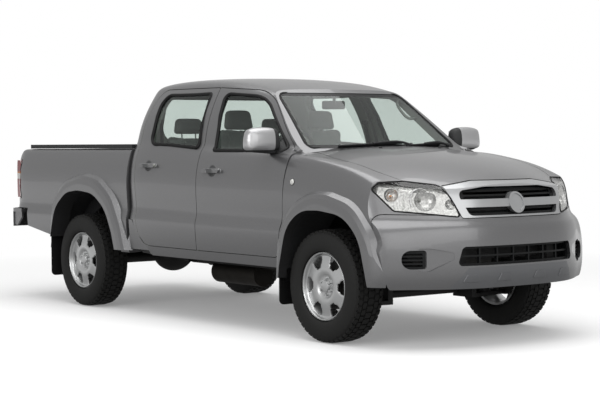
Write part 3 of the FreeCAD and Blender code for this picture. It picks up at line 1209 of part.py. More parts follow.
# Driveline, tank, exhaust and spare wheel
SHAFT_RADIUS = 32.0
ENGINE_WIDTH = 560.0
ENGINE_LENGTH = 620.0
ENGINE_LOW = 480.0
ENGINE_HIGH = 980.0
GEARBOX_LENGTH = 820.0
GEARBOX_WIDTH = 300.0
GEARBOX_LOW = 300.0
SHAFT_HEIGHT = 350.0
engine_front = along(-0.115)
engine = box(-ENGINE_WIDTH / 2, ENGINE_WIDTH / 2, engine_front, engine_front + ENGINE_LENGTH, ENGINE_LOW,
             ENGINE_HIGH)
cross_clear = [box(-RAIL_OUTER, RAIL_OUTER, along(s) - CROSS_WIDTH / 2 - SEAT_GAP,
                   along(s) + CROSS_WIDTH / 2 + SEAT_GAP,
                   0, rail_low_at(s) + (RAIL_DEPTH + CROSS_DEPTH) / 2 + SEAT_GAP) for s in CROSS_SHARES]
engine = engine.cut(fused(cross_clear[:3]))
save("engine", largest(engine))

gearbox = box(-GEARBOX_WIDTH / 2, GEARBOX_WIDTH / 2, engine_front + ENGINE_LENGTH + SEAT_GAP,
              engine_front + ENGINE_LENGTH + GEARBOX_LENGTH, GEARBOX_LOW, RAIL_LOW - SEAT_GAP)
save("gearbox", gearbox)
shaft_start = V(0, engine_front + ENGINE_LENGTH + GEARBOX_LENGTH + SEAT_GAP, SHAFT_HEIGHT)
propshaft = rod(shaft_start, V(0, REAR_AXLE_Y, TYRE_RADIUS), SHAFT_RADIUS)
propshaft = largest(propshaft.cut(Part.makeSphere(DIFF_RADIUS + SEAT_GAP, V(0, REAR_AXLE_Y,
                                                                            TYRE_RADIUS))).cut(rear_axle))
save("propshaft", propshaft)
TANK_LENGTH = 800.0
TANK_LOW = 330.0
TANK_INNER = 90.0
TANK_ROUND = 30.0
TANK_FRONT = along(0.46)
tank = plan_prism([
    (TANK_INNER, TANK_FRONT, TANK_ROUND), (RAIL_OUTER, TANK_FRONT, TANK_ROUND),
    (RAIL_OUTER, TANK_FRONT + TANK_LENGTH, TANK_ROUND), (TANK_INNER, TANK_FRONT + TANK_LENGTH, TANK_ROUND),
], TANK_LOW, RAIL_LOW - SEAT_GAP)
save("fuel_tank", tank)
SPARE_Y = behind(0.560)
SPARE_TOP = RAIL_LOW + RAIL_FRONT_RISE + (RAIL_DEPTH - CROSS_DEPTH) / 2 - SEAT_GAP
spare_place = V(0, SPARE_Y, SPARE_TOP - TYRE_WIDTH / 2)
spare_tyre = tyre().rotate(V(0, 0, 0), V(0, 1, 0), FULL_TURN_DEG / 4).translated(spare_place)
spare_rim = rim().rotate(V(0, 0, 0), V(0, 1, 0), FULL_TURN_DEG / 4).translated(spare_place)
save("spare_tyre", spare_tyre)
save("spare_rim", spare_rim)
PIPE_RADIUS = 28.0
SILENCER_RADIUS = 85.0
PIPE_X = -250.0
PIPE_Z = RAIL_LOW + (RAIL_DEPTH - CROSS_DEPTH) / 2 - PIPE_RADIUS - SEAT_GAP
SILENCER_Z = PIPE_Z + PIPE_RADIUS / 2 - SILENCER_RADIUS
exhaust = fused([
    rod(V(PIPE_X, along(0.12), PIPE_Z), V(PIPE_X, along(0.78), PIPE_Z), PIPE_RADIUS),
    rod(V(PIPE_X, along(0.48), SILENCER_Z), V(PIPE_X, along(0.66), SILENCER_Z), SILENCER_RADIUS),
])
save("exhaust", exhaust)

# Rear bumper: a step with a bowed face and the tow ball hole
STEP_HIGH = 742.0
STEP_LOW = 590.0
STEP_HALF = across(1.005)
STEP_FRONT = BED_BACK + 12.0
STEP_CORNER = 150.0
STEP_BOW = 48.0
STEP_MIDDLE_HALF = across(0.35)
BALL_HOLE_RADIUS = 12.5
BALL_HOLE_WALL = 30.0
step = plan_prism([
    (-STEP_HALF, STEP_FRONT - STEP_CORNER, 0), (STEP_HALF, STEP_FRONT - STEP_CORNER, 0),
    (STEP_HALF, HALF_LENGTH - STEP_BOW, STEP_CORNER * 0.4), (STEP_MIDDLE_HALF, HALF_LENGTH, STEP_CORNER),
    (-STEP_MIDDLE_HALF, HALF_LENGTH, STEP_CORNER), (-STEP_HALF, HALF_LENGTH - STEP_BOW, STEP_CORNER * 0.4),
], STEP_LOW, STEP_HIGH)
STEP_WALL = 12.0
step = step.cut(box(-STEP_HALF - OVERRUN, STEP_HALF + OVERRUN, STEP_FRONT - STEP_CORNER - OVERRUN,
                    STEP_FRONT + STEP_WALL,
                    STEP_LOW - OVERRUN, STEP_HIGH - BALL_HOLE_WALL))
ball_hole_y = (STEP_FRONT + HALF_LENGTH) / 2
step = step.cut(rod(V(0, ball_hole_y, 0), V(0, ball_hole_y, ROOF_HEIGHT), BALL_HOLE_RADIUS))
step = step.cut(box(-STEP_MIDDLE_HALF, STEP_MIDDLE_HALF, STEP_FRONT - OVERRUN, HALF_LENGTH - STEP_WALL,
                    STEP_LOW - OVERRUN,
                    STEP_HIGH - BALL_HOLE_WALL))
bracket = box(RAIL_OUTER - RAIL_WIDTH, RAIL_OUTER, FRAME_BACK + SEAT_GAP, STEP_FRONT + 2 * STEP_WALL,
              STEP_LOW, STEP_HIGH)
save("bumper_rear", fused([largest(step), bracket, mirrored(bracket)]))

# Bed rail caps
CAP_WALL = 38.0
CAP_WIDTH = 66.0
CAP_OVERHANG = 6.0
cap_outer = across(0.928)
cap = plan_prism([
    (-cap_outer, BED_FRONT + CAP_OVERHANG, 0), (cap_outer, BED_FRONT + CAP_OVERHANG, 0),
    (cap_outer, BED_BACK - up(0.110), 0), (cap_outer - CAP_WIDTH, BED_BACK - up(0.110), 0),
    (cap_outer - CAP_WIDTH, BED_FRONT + CAP_WIDTH, up(0.02)), (-cap_outer + CAP_WIDTH,
                                                               BED_FRONT + CAP_WIDTH, up(0.02)),
    (-cap_outer + CAP_WIDTH, BED_BACK - up(0.110), 0), (-cap_outer, BED_BACK - up(0.110), 0),
], BED_RAIL_HEIGHT * BED_CROWN_SHARE + SEAT_GAP, BED_RAIL_HEIGHT + CAP_WALL)
save("bed_rail_caps", cap)

# Seats
SEAT_WIDTH = 500.0
SEAT_DEPTH = 480.0
BENCH_DEPTH = 430.0
SEAT_CUSHION = 150.0
SEAT_TOP = 870.0
SEAT_BACK_HEIGHT = 550.0
BENCH_BACK_HEIGHT = 500.0
SEAT_BACK_WALL = 130.0
SEAT_X = 380.0
FRONT_SEAT_Y = along(0.3315)
REAR_SEAT_Y = along(0.566)
REST_WIDTH = 250.0
REST_HEIGHT = 150.0
REST_WALL = 80.0
REST_GAP = 30.0
POST_RADIUS = 7.0
SEAT_WALL_ROUND = 40.0
SEAT_LEAN_SHARE = 0.20
BENCH_LEAN_SHARE = 0.05


def chair(x, width, y, depth, back_height, lean_share):
    """Cushion, leaning back and plinth, with the place of the back's top."""
    top, low = SEAT_TOP, SEAT_TOP - SEAT_CUSHION
    cushion = side_prism([(y, low, SEAT_WALL_ROUND), (y + depth, low, SEAT_WALL_ROUND),
                          (y + depth, top - SEAT_CUSHION * 0.2, SEAT_WALL_ROUND), (y, top, SEAT_WALL_ROUND)],
                         x - width / 2, x + width / 2)
    lean = back_height * lean_share
    start = y + depth - SEAT_BACK_WALL * 0.4
    foot = low + SEAT_CUSHION * 0.3
    back = side_prism([
        (start, foot, SEAT_WALL_ROUND), (start + SEAT_BACK_WALL, foot, SEAT_WALL_ROUND),
        (start + SEAT_BACK_WALL + lean, top + back_height, SEAT_WALL_ROUND),
        (start + SEAT_BACK_WALL * 0.35 + lean, top + back_height, SEAT_WALL_ROUND),
    ], x - width / 2, x + width / 2)
    plinth = box(x - width * 0.38, x + width * 0.38, y + depth * 0.15, y + depth * 0.85,
                 CAB_FLOOR_TOP + SEAT_GAP, low + SEAT_WALL_ROUND)
    return [cushion, back, plinth], start + SEAT_BACK_WALL * 0.67 + lean, top + back_height


def head_rest(x, y, z):
    low, high, bend = z + REST_GAP, z + REST_GAP + REST_HEIGHT, REST_WALL * 0.4
    pad = side_prism([(y - REST_WALL / 2, low, bend), (y + REST_WALL / 2, low, bend),
                      (y + REST_WALL * 0.6, high, bend), (y - REST_WALL * 0.3, high, bend)],
                     x - REST_WIDTH / 2, x + REST_WIDTH / 2)
    posts = []
    for side in (-1, 1):
        post_x = x + side * REST_WIDTH * 0.25
        posts.append(rod(V(post_x, y, z - REST_GAP), V(post_x, y, z + REST_GAP * 1.2), POST_RADIUS))
    return [pad] + posts


seats = []
for side in (-1, 1):
    pieces, y, z = chair(side * SEAT_X, SEAT_WIDTH, FRONT_SEAT_Y, SEAT_DEPTH, SEAT_BACK_HEIGHT,
                         SEAT_LEAN_SHARE)
    seats.append(fused(pieces + head_rest(side * SEAT_X, y, z)))
save("front_seats", *seats)
REAR_BENCH_WIDTH = 1240.0
pieces, y, z = chair(0, REAR_BENCH_WIDTH, REAR_SEAT_Y, BENCH_DEPTH, BENCH_BACK_HEIGHT, BENCH_LEAN_SHARE)
rests = [piece for side in (-1, 1) for piece in head_rest(side * SEAT_X * 0.9, y, z)]
save("rear_seat", fused(pieces + rests))

# Dashboard and steering wheel on the right-hand side
DASH_FRONT = CAB_FRONT + BULKHEAD_WALL + SEAT_GAP
DASH_DEPTH = 330.0
DASH_HALF = 700.0
DASH_TOP = 1195.0
DASH_LOW = 820.0
DASH_ROUND = 50.0
dash = side_prism([(DASH_FRONT, DASH_LOW, 0), (DASH_FRONT + DASH_DEPTH * 0.6, DASH_LOW, DASH_ROUND),
                   (DASH_FRONT + DASH_DEPTH, DASH_TOP - 0.4 * (DASH_TOP - DASH_LOW), DASH_ROUND),
                   (DASH_FRONT + DASH_DEPTH * 0.85, DASH_TOP, DASH_ROUND), (DASH_FRONT, DASH_TOP,
                                                                            0)], -DASH_HALF, DASH_HALF)
COLUMN_RADIUS = 28.0
COLUMN_TILT_DEG = 25.0
WHEEL_RIM_RADIUS = 185.0
WHEEL_RIM_WALL = 15.0
COLUMN_X = -SEAT_X
tilt = math.radians(COLUMN_TILT_DEG)
column_way = V(0, math.cos(tilt), math.sin(tilt))
COLUMN_RUN = 420.0
column_start = V(COLUMN_X, DASH_FRONT + DASH_DEPTH * 0.5, DASH_LOW + (DASH_TOP - DASH_LOW) * 0.45)
column_end = column_start.add(V(column_way).multiply(COLUMN_RUN))
dash = fused([dash, rod(column_start, column_end, COLUMN_RADIUS)])
CONSOLE_HALF = 95.0
console = box(-CONSOLE_HALF, CONSOLE_HALF, DASH_FRONT + DASH_DEPTH * 0.3, FRONT_SEAT_Y + SEAT_DEPTH * 0.8,
              CAB_FLOOR_TOP + SEAT_GAP, CAB_FLOOR_TOP + SEAT_CUSHION * 1.4)
dash = fused([dash, console, box(-CONSOLE_HALF, CONSOLE_HALF, DASH_FRONT, DASH_FRONT + DASH_DEPTH * 0.6,
                                CAB_FLOOR_TOP + SEAT_GAP, DASH_LOW + SEAT_CUSHION * 0.2)])
cabin_space = cab_hull(DOOR_WALL + PANEL_GAP + PILLAR_WALL + SEAT_GAP,
                       DOOR_FRAME_WALL + PANEL_GAP + PILLAR_FRAME_WALL + SEAT_GAP,
                       CAB_FRONT + BULKHEAD_WALL, CAB_BACK - CAB_BACK_WALL)
cabin_space = cabin_space.common(screen_solid(SCREEN_FRAME_DEPTH + SEAT_GAP, SCREEN_RUN))
dash = largest(dash.common(cabin_space))
save("dashboard", dash)
hub_start = column_end.add(V(column_way).multiply(SEAT_GAP))
hub_end = hub_start.add(V(column_way).multiply(COLUMN_RADIUS * 2))
ring_centre = hub_start.add(V(column_way).multiply(COLUMN_RADIUS * 1.4))
ring = Part.makeTorus(WHEEL_RIM_RADIUS, WHEEL_RIM_WALL, ring_centre, column_way)
wheel_pieces = [rod(hub_start, hub_end, COLUMN_RADIUS * 2), ring]
SPOKE_TURNS_DEG = (0, 180, 90)
SPOKE_RADIUS = WHEEL_RIM_WALL * 0.8
spoke_across = V(1, 0, 0)
spoke_up = column_way.cross(spoke_across)
for turn in SPOKE_TURNS_DEG:
    angle = math.radians(turn)
    direction = V(spoke_across).multiply(math.cos(angle)).sub(V(spoke_up).multiply(math.sin(angle)))
    wheel_pieces.append(rod(ring_centre, ring_centre.add(direction.multiply(WHEEL_RIM_RADIUS)), SPOKE_RADIUS))
save("steering_wheel", fused(wheel_pieces))

# Mirrors on the front doors
MIRROR_LOW = 1228.0
MIRROR_HIGH = 1372.0
MIRROR_Y = along(0.1726)
MIRROR_DEPTH = 95.0
MIRROR_ROUND = 55.0
MIRROR_ARM_DROP = 24.0
MIRROR_INNER = across(0.918)
MIRROR_OUTER = across(1.168)
MIRROR_ARM_HIGH = MIRROR_LOW + MIRROR_DEPTH * 0.4
mirror = front_prism([
    (MIRROR_INNER, MIRROR_LOW, MIRROR_ROUND), (MIRROR_OUTER, MIRROR_LOW, MIRROR_ROUND),
    (MIRROR_OUTER, MIRROR_HIGH, MIRROR_ROUND), (MIRROR_INNER, MIRROR_HIGH, MIRROR_ROUND),
], MIRROR_Y, MIRROR_Y + MIRROR_DEPTH)
mirror_arm = box(MIRROR_INNER - MIRROR_DEPTH, MIRROR_INNER + MIRROR_DEPTH * 0.5,
                 MIRROR_Y + MIRROR_DEPTH * 0.2, MIRROR_Y + MIRROR_DEPTH * 0.8,
                 shoulder(MIRROR_Y) - MIRROR_ARM_DROP, MIRROR_ARM_HIGH)
mirror = fused([mirror, mirror_arm]).cut(cab_outer)
for hand, side in AXLE_ENDS:
    save("mirror_" + hand, mirror if side > 0 else mirrored(mirror))

# Mud flaps behind the wheels, each hung from the lower edge ahead of it
FLAP_WALL = 10.0
FLAP_ROUND = 35.0
FLAP_LOW = 215.0
FLAP_INNER = 640.0
FLAP_OUTER = across(1.0)
FRONT_FLAP_Y = FRONT_AXLE_Y + TYRE_RADIUS * 1.17
REAR_FLAP_Y = REAR_AXLE_Y + TYRE_RADIUS * 1.235
skirt_line = [(share, height) for share, height, round_share in BED_SKIRT_SHARES[2:5]]
REAR_FLAP_TOP = up(table(skirt_line, (REAR_FLAP_Y - FRONT_AXLE_Y) / WHEELBASE))
flaps = []
for place, top in ((FRONT_FLAP_Y, FRONT_FLARE_LOW), (REAR_FLAP_Y, REAR_FLAP_TOP)):
    flap = front_prism([
        (FLAP_INNER, FLAP_LOW, FLAP_ROUND), (FLAP_OUTER, FLAP_LOW, FLAP_ROUND),
        (FLAP_OUTER, top - SEAT_GAP, 0), (FLAP_INNER, top - SEAT_GAP, 0),
    ], place, place + FLAP_WALL)
    flaps += both(flap)
save("mud_flaps", *flaps)
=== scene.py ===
import math
import bpy
import bmesh
from mathutils import Matrix, Vector
from mathutils.geometry import convex_hull_2d


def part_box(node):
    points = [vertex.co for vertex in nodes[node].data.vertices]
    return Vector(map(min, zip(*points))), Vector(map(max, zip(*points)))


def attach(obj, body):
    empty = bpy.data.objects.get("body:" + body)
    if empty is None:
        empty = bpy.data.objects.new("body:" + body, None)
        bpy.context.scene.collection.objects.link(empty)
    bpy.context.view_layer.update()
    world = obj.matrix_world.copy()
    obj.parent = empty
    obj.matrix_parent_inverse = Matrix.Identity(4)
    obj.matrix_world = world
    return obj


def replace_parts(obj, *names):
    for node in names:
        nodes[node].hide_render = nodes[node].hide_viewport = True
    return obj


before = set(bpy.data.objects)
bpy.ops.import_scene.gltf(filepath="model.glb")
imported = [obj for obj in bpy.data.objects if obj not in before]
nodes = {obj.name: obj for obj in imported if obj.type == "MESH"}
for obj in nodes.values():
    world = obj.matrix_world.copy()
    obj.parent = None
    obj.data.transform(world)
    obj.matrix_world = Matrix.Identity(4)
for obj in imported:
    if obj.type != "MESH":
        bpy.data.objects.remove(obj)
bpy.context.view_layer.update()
scene = bpy.context.scene
sides = (("right", -1), ("left", 1))
mm = 0.001
bpy.context.view_layer.update()
print("frame loaded:", len(nodes), "nodes")


def middle(name):
    low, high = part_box(name)
    return (low + high) / 2


axles = [middle("tyre_front_right"), middle("tyre_rear_right")]


def hexColour(text):
    parts = [int(text[i:i + 2], 16) / 255 for i in (1, 3, 5)]
    return [c / 12.92 if c <= 0.04045 else ((c + 0.055) / 1.055) ** 2.4 for c in parts] + [1.0]


# Inputs are plain values, "#rrggbb" colours, sockets, or nodes, which give their first output
def addNode(tree, kind, inputs=None, **settings):
    node = tree.nodes.new("ShaderNode" + kind)
    for name, value in settings.items():
        setattr(node, name, value)
    for name, value in (inputs or {}).items():
        if isinstance(value, bpy.types.Node):
            value = value.outputs[0]
        if isinstance(value, bpy.types.NodeSocket):
            tree.links.new(value, node.inputs[name])
        else:
            node.inputs[name].default_value = hexColour(value) if isinstance(value, str) else value
    return node


def newMaterial(name):
    material = bpy.data.materials.new(name)
    material.use_nodes = True
    tree = material.node_tree
    tree.nodes.clear()
    return material, tree, addNode(tree, "TexCoord").outputs["Object"]


def closed(material, shader):
    addNode(material.node_tree, "OutputMaterial", {"Surface": shader})
    return material


# Two close tones that drift over toneMm, a grain of grainMm and depthMm, a range of roughness, the shader's own values
def makeFinish(name, first, second, toneMm, grainMm, depthMm, cells, rough, values, strength=0.5):
    material, tree, place = newMaterial(name)
    drift = addNode(tree, "TexNoise", {"Vector": place, "Scale": 1 / (toneMm * mm), "Detail": 3.0})
    tone = addNode(tree, "Mix", {"Factor": drift, 6: first, 7: second}, data_type="RGBA")
    grain = {"Vector": place, "Scale": 1 / (grainMm * mm)}
    grain = addNode(tree, "TexVoronoi", grain) if cells else addNode(tree, "TexNoise", {**grain, "Detail": 2.0})
    bump = addNode(tree, "Bump", {"Height": grain, "Strength": strength, "Distance": depthMm * mm})
    dull = addNode(tree, "MapRange", {"Value": drift, "To Min": rough[0], "To Max": rough[1]})
    return closed(material, addNode(tree, "BsdfPrincipled", {"Base Color": tone.outputs[2], "Roughness": dull,
                                                             "Normal": bump, **values}))


# Silver base coat with aluminium flake under clear lacquer: mid grey, bright only where it faces the light.
# Flake is 0.03 mm in life and drawn at 1.5 mm so that it shows.
paintLook = {"colour": "#727273", "flakeTone": "#8c8c8d", "flakeMm": 1.5, "peelMm": 9.0, "peelDepthMm": 0.02,
             "under": "#141415", "cabinTone": "#8f918c", "cabinSecond": "#83857f", "cabin": (0.0, -0.35, 1.10),
             "archReach": 0.62, "archFacing": 0.3, "cabinFacing": 0.33, "downFacing": -0.5, "underTop": 0.81,
             "handles": ((-0.444, 1.085), (0.389, 1.115)), "cupSize": (0.060, 0.050), "cupDepthMm": 12.0,
             "cupShade": "#4a4b4c"}


# 1 on faces that look at a wheel's hub from close by
def archMask(tree, place, normal):
    found = []
    for hub in axles:
        way = addNode(tree, "VectorMath", {0: tuple(hub), 1: place}, operation="SUBTRACT")
        flatWay = addNode(tree, "VectorMath", {0: way, 1: (0, 1, 1)}, operation="MULTIPLY")
        run = addNode(tree, "VectorMath", {0: flatWay}, operation="LENGTH").outputs["Value"]
        unit = addNode(tree, "VectorMath", {0: flatWay}, operation="NORMALIZE")
        facing = addNode(tree, "VectorMath", {0: unit, 1: normal}, operation="DOT_PRODUCT").outputs["Value"]
        looks = addNode(tree, "Math", {0: facing, 1: paintLook["archFacing"]}, operation="GREATER_THAN")
        near = addNode(tree, "Math", {0: run, 1: paintLook["archReach"]}, operation="LESS_THAN")
        found.append(addNode(tree, "Math", {0: looks, 1: near}, operation="MULTIPLY"))
    return addNode(tree, "Math", dict(enumerate(found)), operation="MAXIMUM")


# 1 on the door skin, 0 in the middle of the dished cups behind the handles
def cupHeight(tree, place):
    cups = []
    for y, z in paintLook["handles"]:
        wide, high = paintLook["cupSize"]
        off = addNode(tree, "VectorMath", {0: place, 1: (0, y, z)}, operation="SUBTRACT")
        flatOff = addNode(tree, "VectorMath", {0: off, 1: (0, 1 / wide, 1 / high)}, operation="MULTIPLY")
        run = addNode(tree, "VectorMath", {0: flatOff}, operation="LENGTH").outputs["Value"]
        cups.append(addNode(tree, "MapRange", {"Value": run, "From Min": 0.35, "From Max": 1.0},
                            interpolation_type="SMOOTHERSTEP"))
    return addNode(tree, "Math", dict(enumerate(cups)), operation="MULTIPLY")


# Lacquered metallic paint with its orange peel and, on doors, the cups
def paintShader(tree, place, colour, cups=None):
    peel = addNode(tree, "TexNoise", {"Vector": place, "Scale": 1 / (paintLook["peelMm"] * mm), "Detail": 0.0})
    bump = addNode(tree, "Bump", {"Height": peel, "Strength": 0.2, "Distance": paintLook["peelDepthMm"] * mm})
    if cups:
        bump = addNode(tree, "Bump", {"Height": cups, "Strength": 1.0, "Distance": paintLook["cupDepthMm"] * mm,
                                      "Normal": bump})
    return addNode(tree, "BsdfPrincipled", {"Base Color": colour, "Metallic": 0.8, "Roughness": 0.36, "Normal": bump,
                                            "Coat Weight": 0.5, "Coat Roughness": 0.04})


def silverPaint(name, inside=False, under=True, cups=False):
    material, tree, place = newMaterial(name)
    flake = addNode(tree, "TexVoronoi", {"Vector": place, "Scale": 1 / (paintLook["flakeMm"] * mm)})
    sparkle = addNode(tree, "MapRange", {"Value": flake.outputs["Color"], "From Min": 0.55, "From Max": 1.0,
                                         "To Min": 0.0, "To Max": 0.45})
    colour = addNode(tree, "Mix", {"Factor": sparkle, 6: paintLook["colour"], 7: paintLook["flakeTone"]},
                     data_type="RGBA").outputs[2]
    height = cupHeight(tree, place) if cups else None
    # Painted shade: the paint darkens towards the middle of each cup behind a handle, standing in for the shade in the
    # recess
    if cups:
        shade = addNode(tree, "MapRange", {"Value": height, "To Min": 1.0, "To Max": 0.0})
        colour = addNode(tree, "Mix", {"Factor": shade, 6: colour, 7: paintLook["cupShade"]},
                         data_type="RGBA").outputs[2]
    shader = paintShader(tree, place, colour, height)
    normal = addNode(tree, "TexCoord").outputs["Normal"]  # turns with the part, so the masks hold at every pose
    if inside:
        toCentre = addNode(tree, "VectorMath", {0: paintLook["cabin"], 1: place}, operation="SUBTRACT")
        unit = addNode(tree, "VectorMath", {0: toCentre}, operation="NORMALIZE")
        facing = addNode(tree, "VectorMath", {0: unit, 1: normal}, operation="DOT_PRODUCT").outputs["Value"]
        inner = addNode(tree, "Math", {0: facing, 1: paintLook["cabinFacing"]}, operation="GREATER_THAN")
        fuzz = addNode(tree, "TexNoise", {"Vector": place, "Scale": 1 / (3 * mm), "Detail": 2.0})
        lining = addNode(tree, "Mix", {"Factor": fuzz, 6: paintLook["cabinTone"], 7: paintLook["cabinSecond"]},
                         data_type="RGBA")
        trim = addNode(tree, "BsdfPrincipled", {"Base Color": lining.outputs[2], "Roughness": 0.85})
        shader = addNode(tree, "MixShader", {0: inner, 1: shader, 2: trim})
    if under:
        up = addNode(tree, "SeparateXYZ", {0: normal}).outputs[2]
        down = addNode(tree, "Math", {0: up, 1: paintLook["downFacing"]}, operation="LESS_THAN")
        height = addNode(tree, "SeparateXYZ", {0: place}).outputs[2]
        low = addNode(tree, "Math", {0: height, 1: paintLook["underTop"]}, operation="LESS_THAN")
        both = addNode(tree, "Math", {0: down, 1: low}, operation="MULTIPLY")
        sealed = addNode(tree, "Math", {0: both, 1: archMask(tree, place, normal)}, operation="MAXIMUM")
        stone = addNode(tree, "TexVoronoi", {"Vector": place, "Scale": 1 / (4 * mm)})
        rough = addNode(tree, "Bump", {"Height": stone, "Strength": 0.6, "Distance": 0.4 * mm})
        seal = addNode(tree, "BsdfPrincipled", {"Base Color": paintLook["under"], "Roughness": 0.8, "Normal": rough})
        shader = addNode(tree, "MixShader", {0: sealed, 1: shader, 2: seal})
    return closed(material, shader)


# Float glass, green-grey in the body. A thin film of light comes back, the rest goes through with a tint.
glassLook = {"window": "#edf1ef", "lens": "#fcfcfb", "gloss": 0.03, "frit": "#0c0c0d", "fritWide": 0.024,
             "lowEdge": 1.2355, "highEdge": 1.6205, "lowHalf": 0.6644, "highHalf": 0.5526}


def thinGlass(name, tint, ior=1.5, frit=False, ribsMm=0):
    material, tree, place = newMaterial(name)
    clear = addNode(tree, "BsdfTransparent", {"Color": tint})
    ripple = addNode(tree, "TexNoise", {"Vector": place, "Scale": 1 / (220 * mm), "Detail": 0.0})
    bump = addNode(tree, "Bump", {"Height": ripple, "Strength": 0.03, "Distance": 1 * mm})
    if ribsMm:
        rib = addNode(tree, "TexWave", {"Vector": place, "Scale": 0.31 / (ribsMm * mm)}, bands_direction="X")
        bump = addNode(tree, "Bump", {"Height": rib.outputs["Fac"], "Strength": 0.5, "Distance": 0.5 * mm})
    shine = addNode(tree, "BsdfPrincipled", {"Base Color": tint, "Metallic": 1.0, "Roughness": glassLook["gloss"],
                                             "Normal": bump})
    edge = addNode(tree, "Fresnel", {"IOR": ior})
    front = addNode(tree, "Math", {0: 1.0, 1: addNode(tree, "NewGeometry").outputs["Backfacing"]}, operation="SUBTRACT")
    film = addNode(tree, "Math", {0: edge, 1: front}, operation="MULTIPLY")
    shader = addNode(tree, "MixShader", {0: film, 1: clear, 2: shine})
    if frit:
        axes = addNode(tree, "SeparateXYZ", {0: place})
        wide = addNode(tree, "Math", {0: axes}, operation="ABSOLUTE")
        half = addNode(tree, "MapRange", {"Value": axes.outputs[2], "From Min": glassLook["lowEdge"],
                                          "From Max": glassLook["highEdge"], "To Min": glassLook["lowHalf"],
                                          "To Max": glassLook["highHalf"]})
        nearest = addNode(tree, "Math", {0: half, 1: wide}, operation="SUBTRACT")
        for ends in ({0: axes.outputs[2], 1: glassLook["lowEdge"]}, {0: glassLook["highEdge"], 1: axes.outputs[2]}):
            gap = addNode(tree, "Math", ends, operation="SUBTRACT")
            nearest = addNode(tree, "Math", {0: nearest, 1: gap}, operation="MINIMUM")
        band = addNode(tree, "Math", {0: nearest, 1: glassLook["fritWide"]}, operation="LESS_THAN")
        enamel = addNode(tree, "BsdfPrincipled", {"Base Color": glassLook["frit"], "Roughness": 0.3,
                                                  "Specular IOR Level": 0.2})
        shader = addNode(tree, "MixShader", {0: band, 1: shader, 2: enamel})
    return closed(material, shader)


# Knitted seat cloth: fine loops, mid grey with a darker fleck. Loops are 1.5 mm in life and drawn at 4 mm.
clothLook = {"colour": "#6b6f6c", "second": "#5b5f5d", "loopMm": 4.0, "loopDepthMm": 0.15}


def seatCloth(name):
    material, tree, place = newMaterial(name)
    loops = addNode(tree, "TexVoronoi", {"Vector": place, "Scale": 1 / (clothLook["loopMm"] * mm)})
    drift = addNode(tree, "TexNoise", {"Vector": place, "Scale": 1 / (60 * mm), "Detail": 3.0})
    mixed = addNode(tree, "Math", {0: loops.outputs["Color"], 1: drift}, operation="MULTIPLY")
    tone = addNode(tree, "Mix", {"Factor": mixed, 6: clothLook["colour"], 7: clothLook["second"]}, data_type="RGBA")
    bump = addNode(tree, "Bump", {"Height": loops, "Strength": 0.6, "Distance": clothLook["loopDepthMm"] * mm})
    return closed(material, addNode(tree, "BsdfPrincipled", {"Base Color": tone.outputs[2], "Roughness": 0.9,
                                                             "Sheen Weight": 0.3, "Normal": bump}))


# Tail lamp: red acrylic, clear over the reversing lamp with a thin amber band above, prisms moulded inside
tailLook = {"red": "#7a1519", "bands": (("#c9c6c2", 0.988), ("#b9702f", 1.034), ("#7a1519", 1.048)), "prismMm": 6.0}


def tailAcrylic(name):
    material, tree, place = newMaterial(name)
    height = addNode(tree, "SeparateXYZ", {0: place}).outputs[2]
    colour = tailLook["red"]
    for tone, edge in tailLook["bands"]:
        over = addNode(tree, "Math", {0: height, 1: edge}, operation="GREATER_THAN")
        colour = addNode(tree, "Mix", {"Factor": over, 6: colour, 7: tone}, data_type="RGBA").outputs[2]
    prisms = addNode(tree, "TexVoronoi", {"Vector": place, "Scale": 1 / (tailLook["prismMm"] * mm)},
                     distance="CHEBYCHEV")
    bump = addNode(tree, "Bump", {"Height": prisms, "Strength": 0.5, "Distance": 0.5 * mm})
    return closed(material, addNode(tree, "BsdfPrincipled", {"Base Color": colour, "Roughness": 0.18, "Normal": bump,
                                                             "Coat Weight": 1.0, "Coat Roughness": 0.03}))


# Door mirror: painted shell on a grained black foot; the shell's paint is lighter than the body paint, a painted
# highlight for a shell that faces the light
mirrorLook = {"footTop": 1.2285, "footOut": 0.835, "paint": "#adadae", "foot": "#1b1c1d"}


def mirrorShell(name):
    material, tree, place = newMaterial(name)
    axes = addNode(tree, "SeparateXYZ", {0: place})
    low = addNode(tree, "Math", {0: axes.outputs[2], 1: mirrorLook["footTop"]}, operation="LESS_THAN")
    wide = addNode(tree, "Math", {0: axes}, operation="ABSOLUTE")
    near = addNode(tree, "Math", {0: wide, 1: mirrorLook["footOut"]}, operation="LESS_THAN")
    foot = addNode(tree, "Math", {0: low, 1: near}, operation="MAXIMUM")
    painted = paintShader(tree, place, mirrorLook["paint"])
    grain = addNode(tree, "TexVoronoi", {"Vector": place, "Scale": 1 / (2 * mm)})
    rough = addNode(tree, "Bump", {"Height": grain, "Strength": 0.5, "Distance": 0.25 * mm})
    moulded = addNode(tree, "BsdfPrincipled", {"Base Color": mirrorLook["foot"], "Roughness": 0.6, "Normal": rough})
    return closed(material, addNode(tree, "MixShader", {0: foot, 1: painted, 2: moulded}))


plastic = {"Specular IOR Level": 0.4}
satin = {"Specular IOR Level": 0.25}
acrylic = {"Coat Weight": 1.0, "Coat Roughness": 0.03}
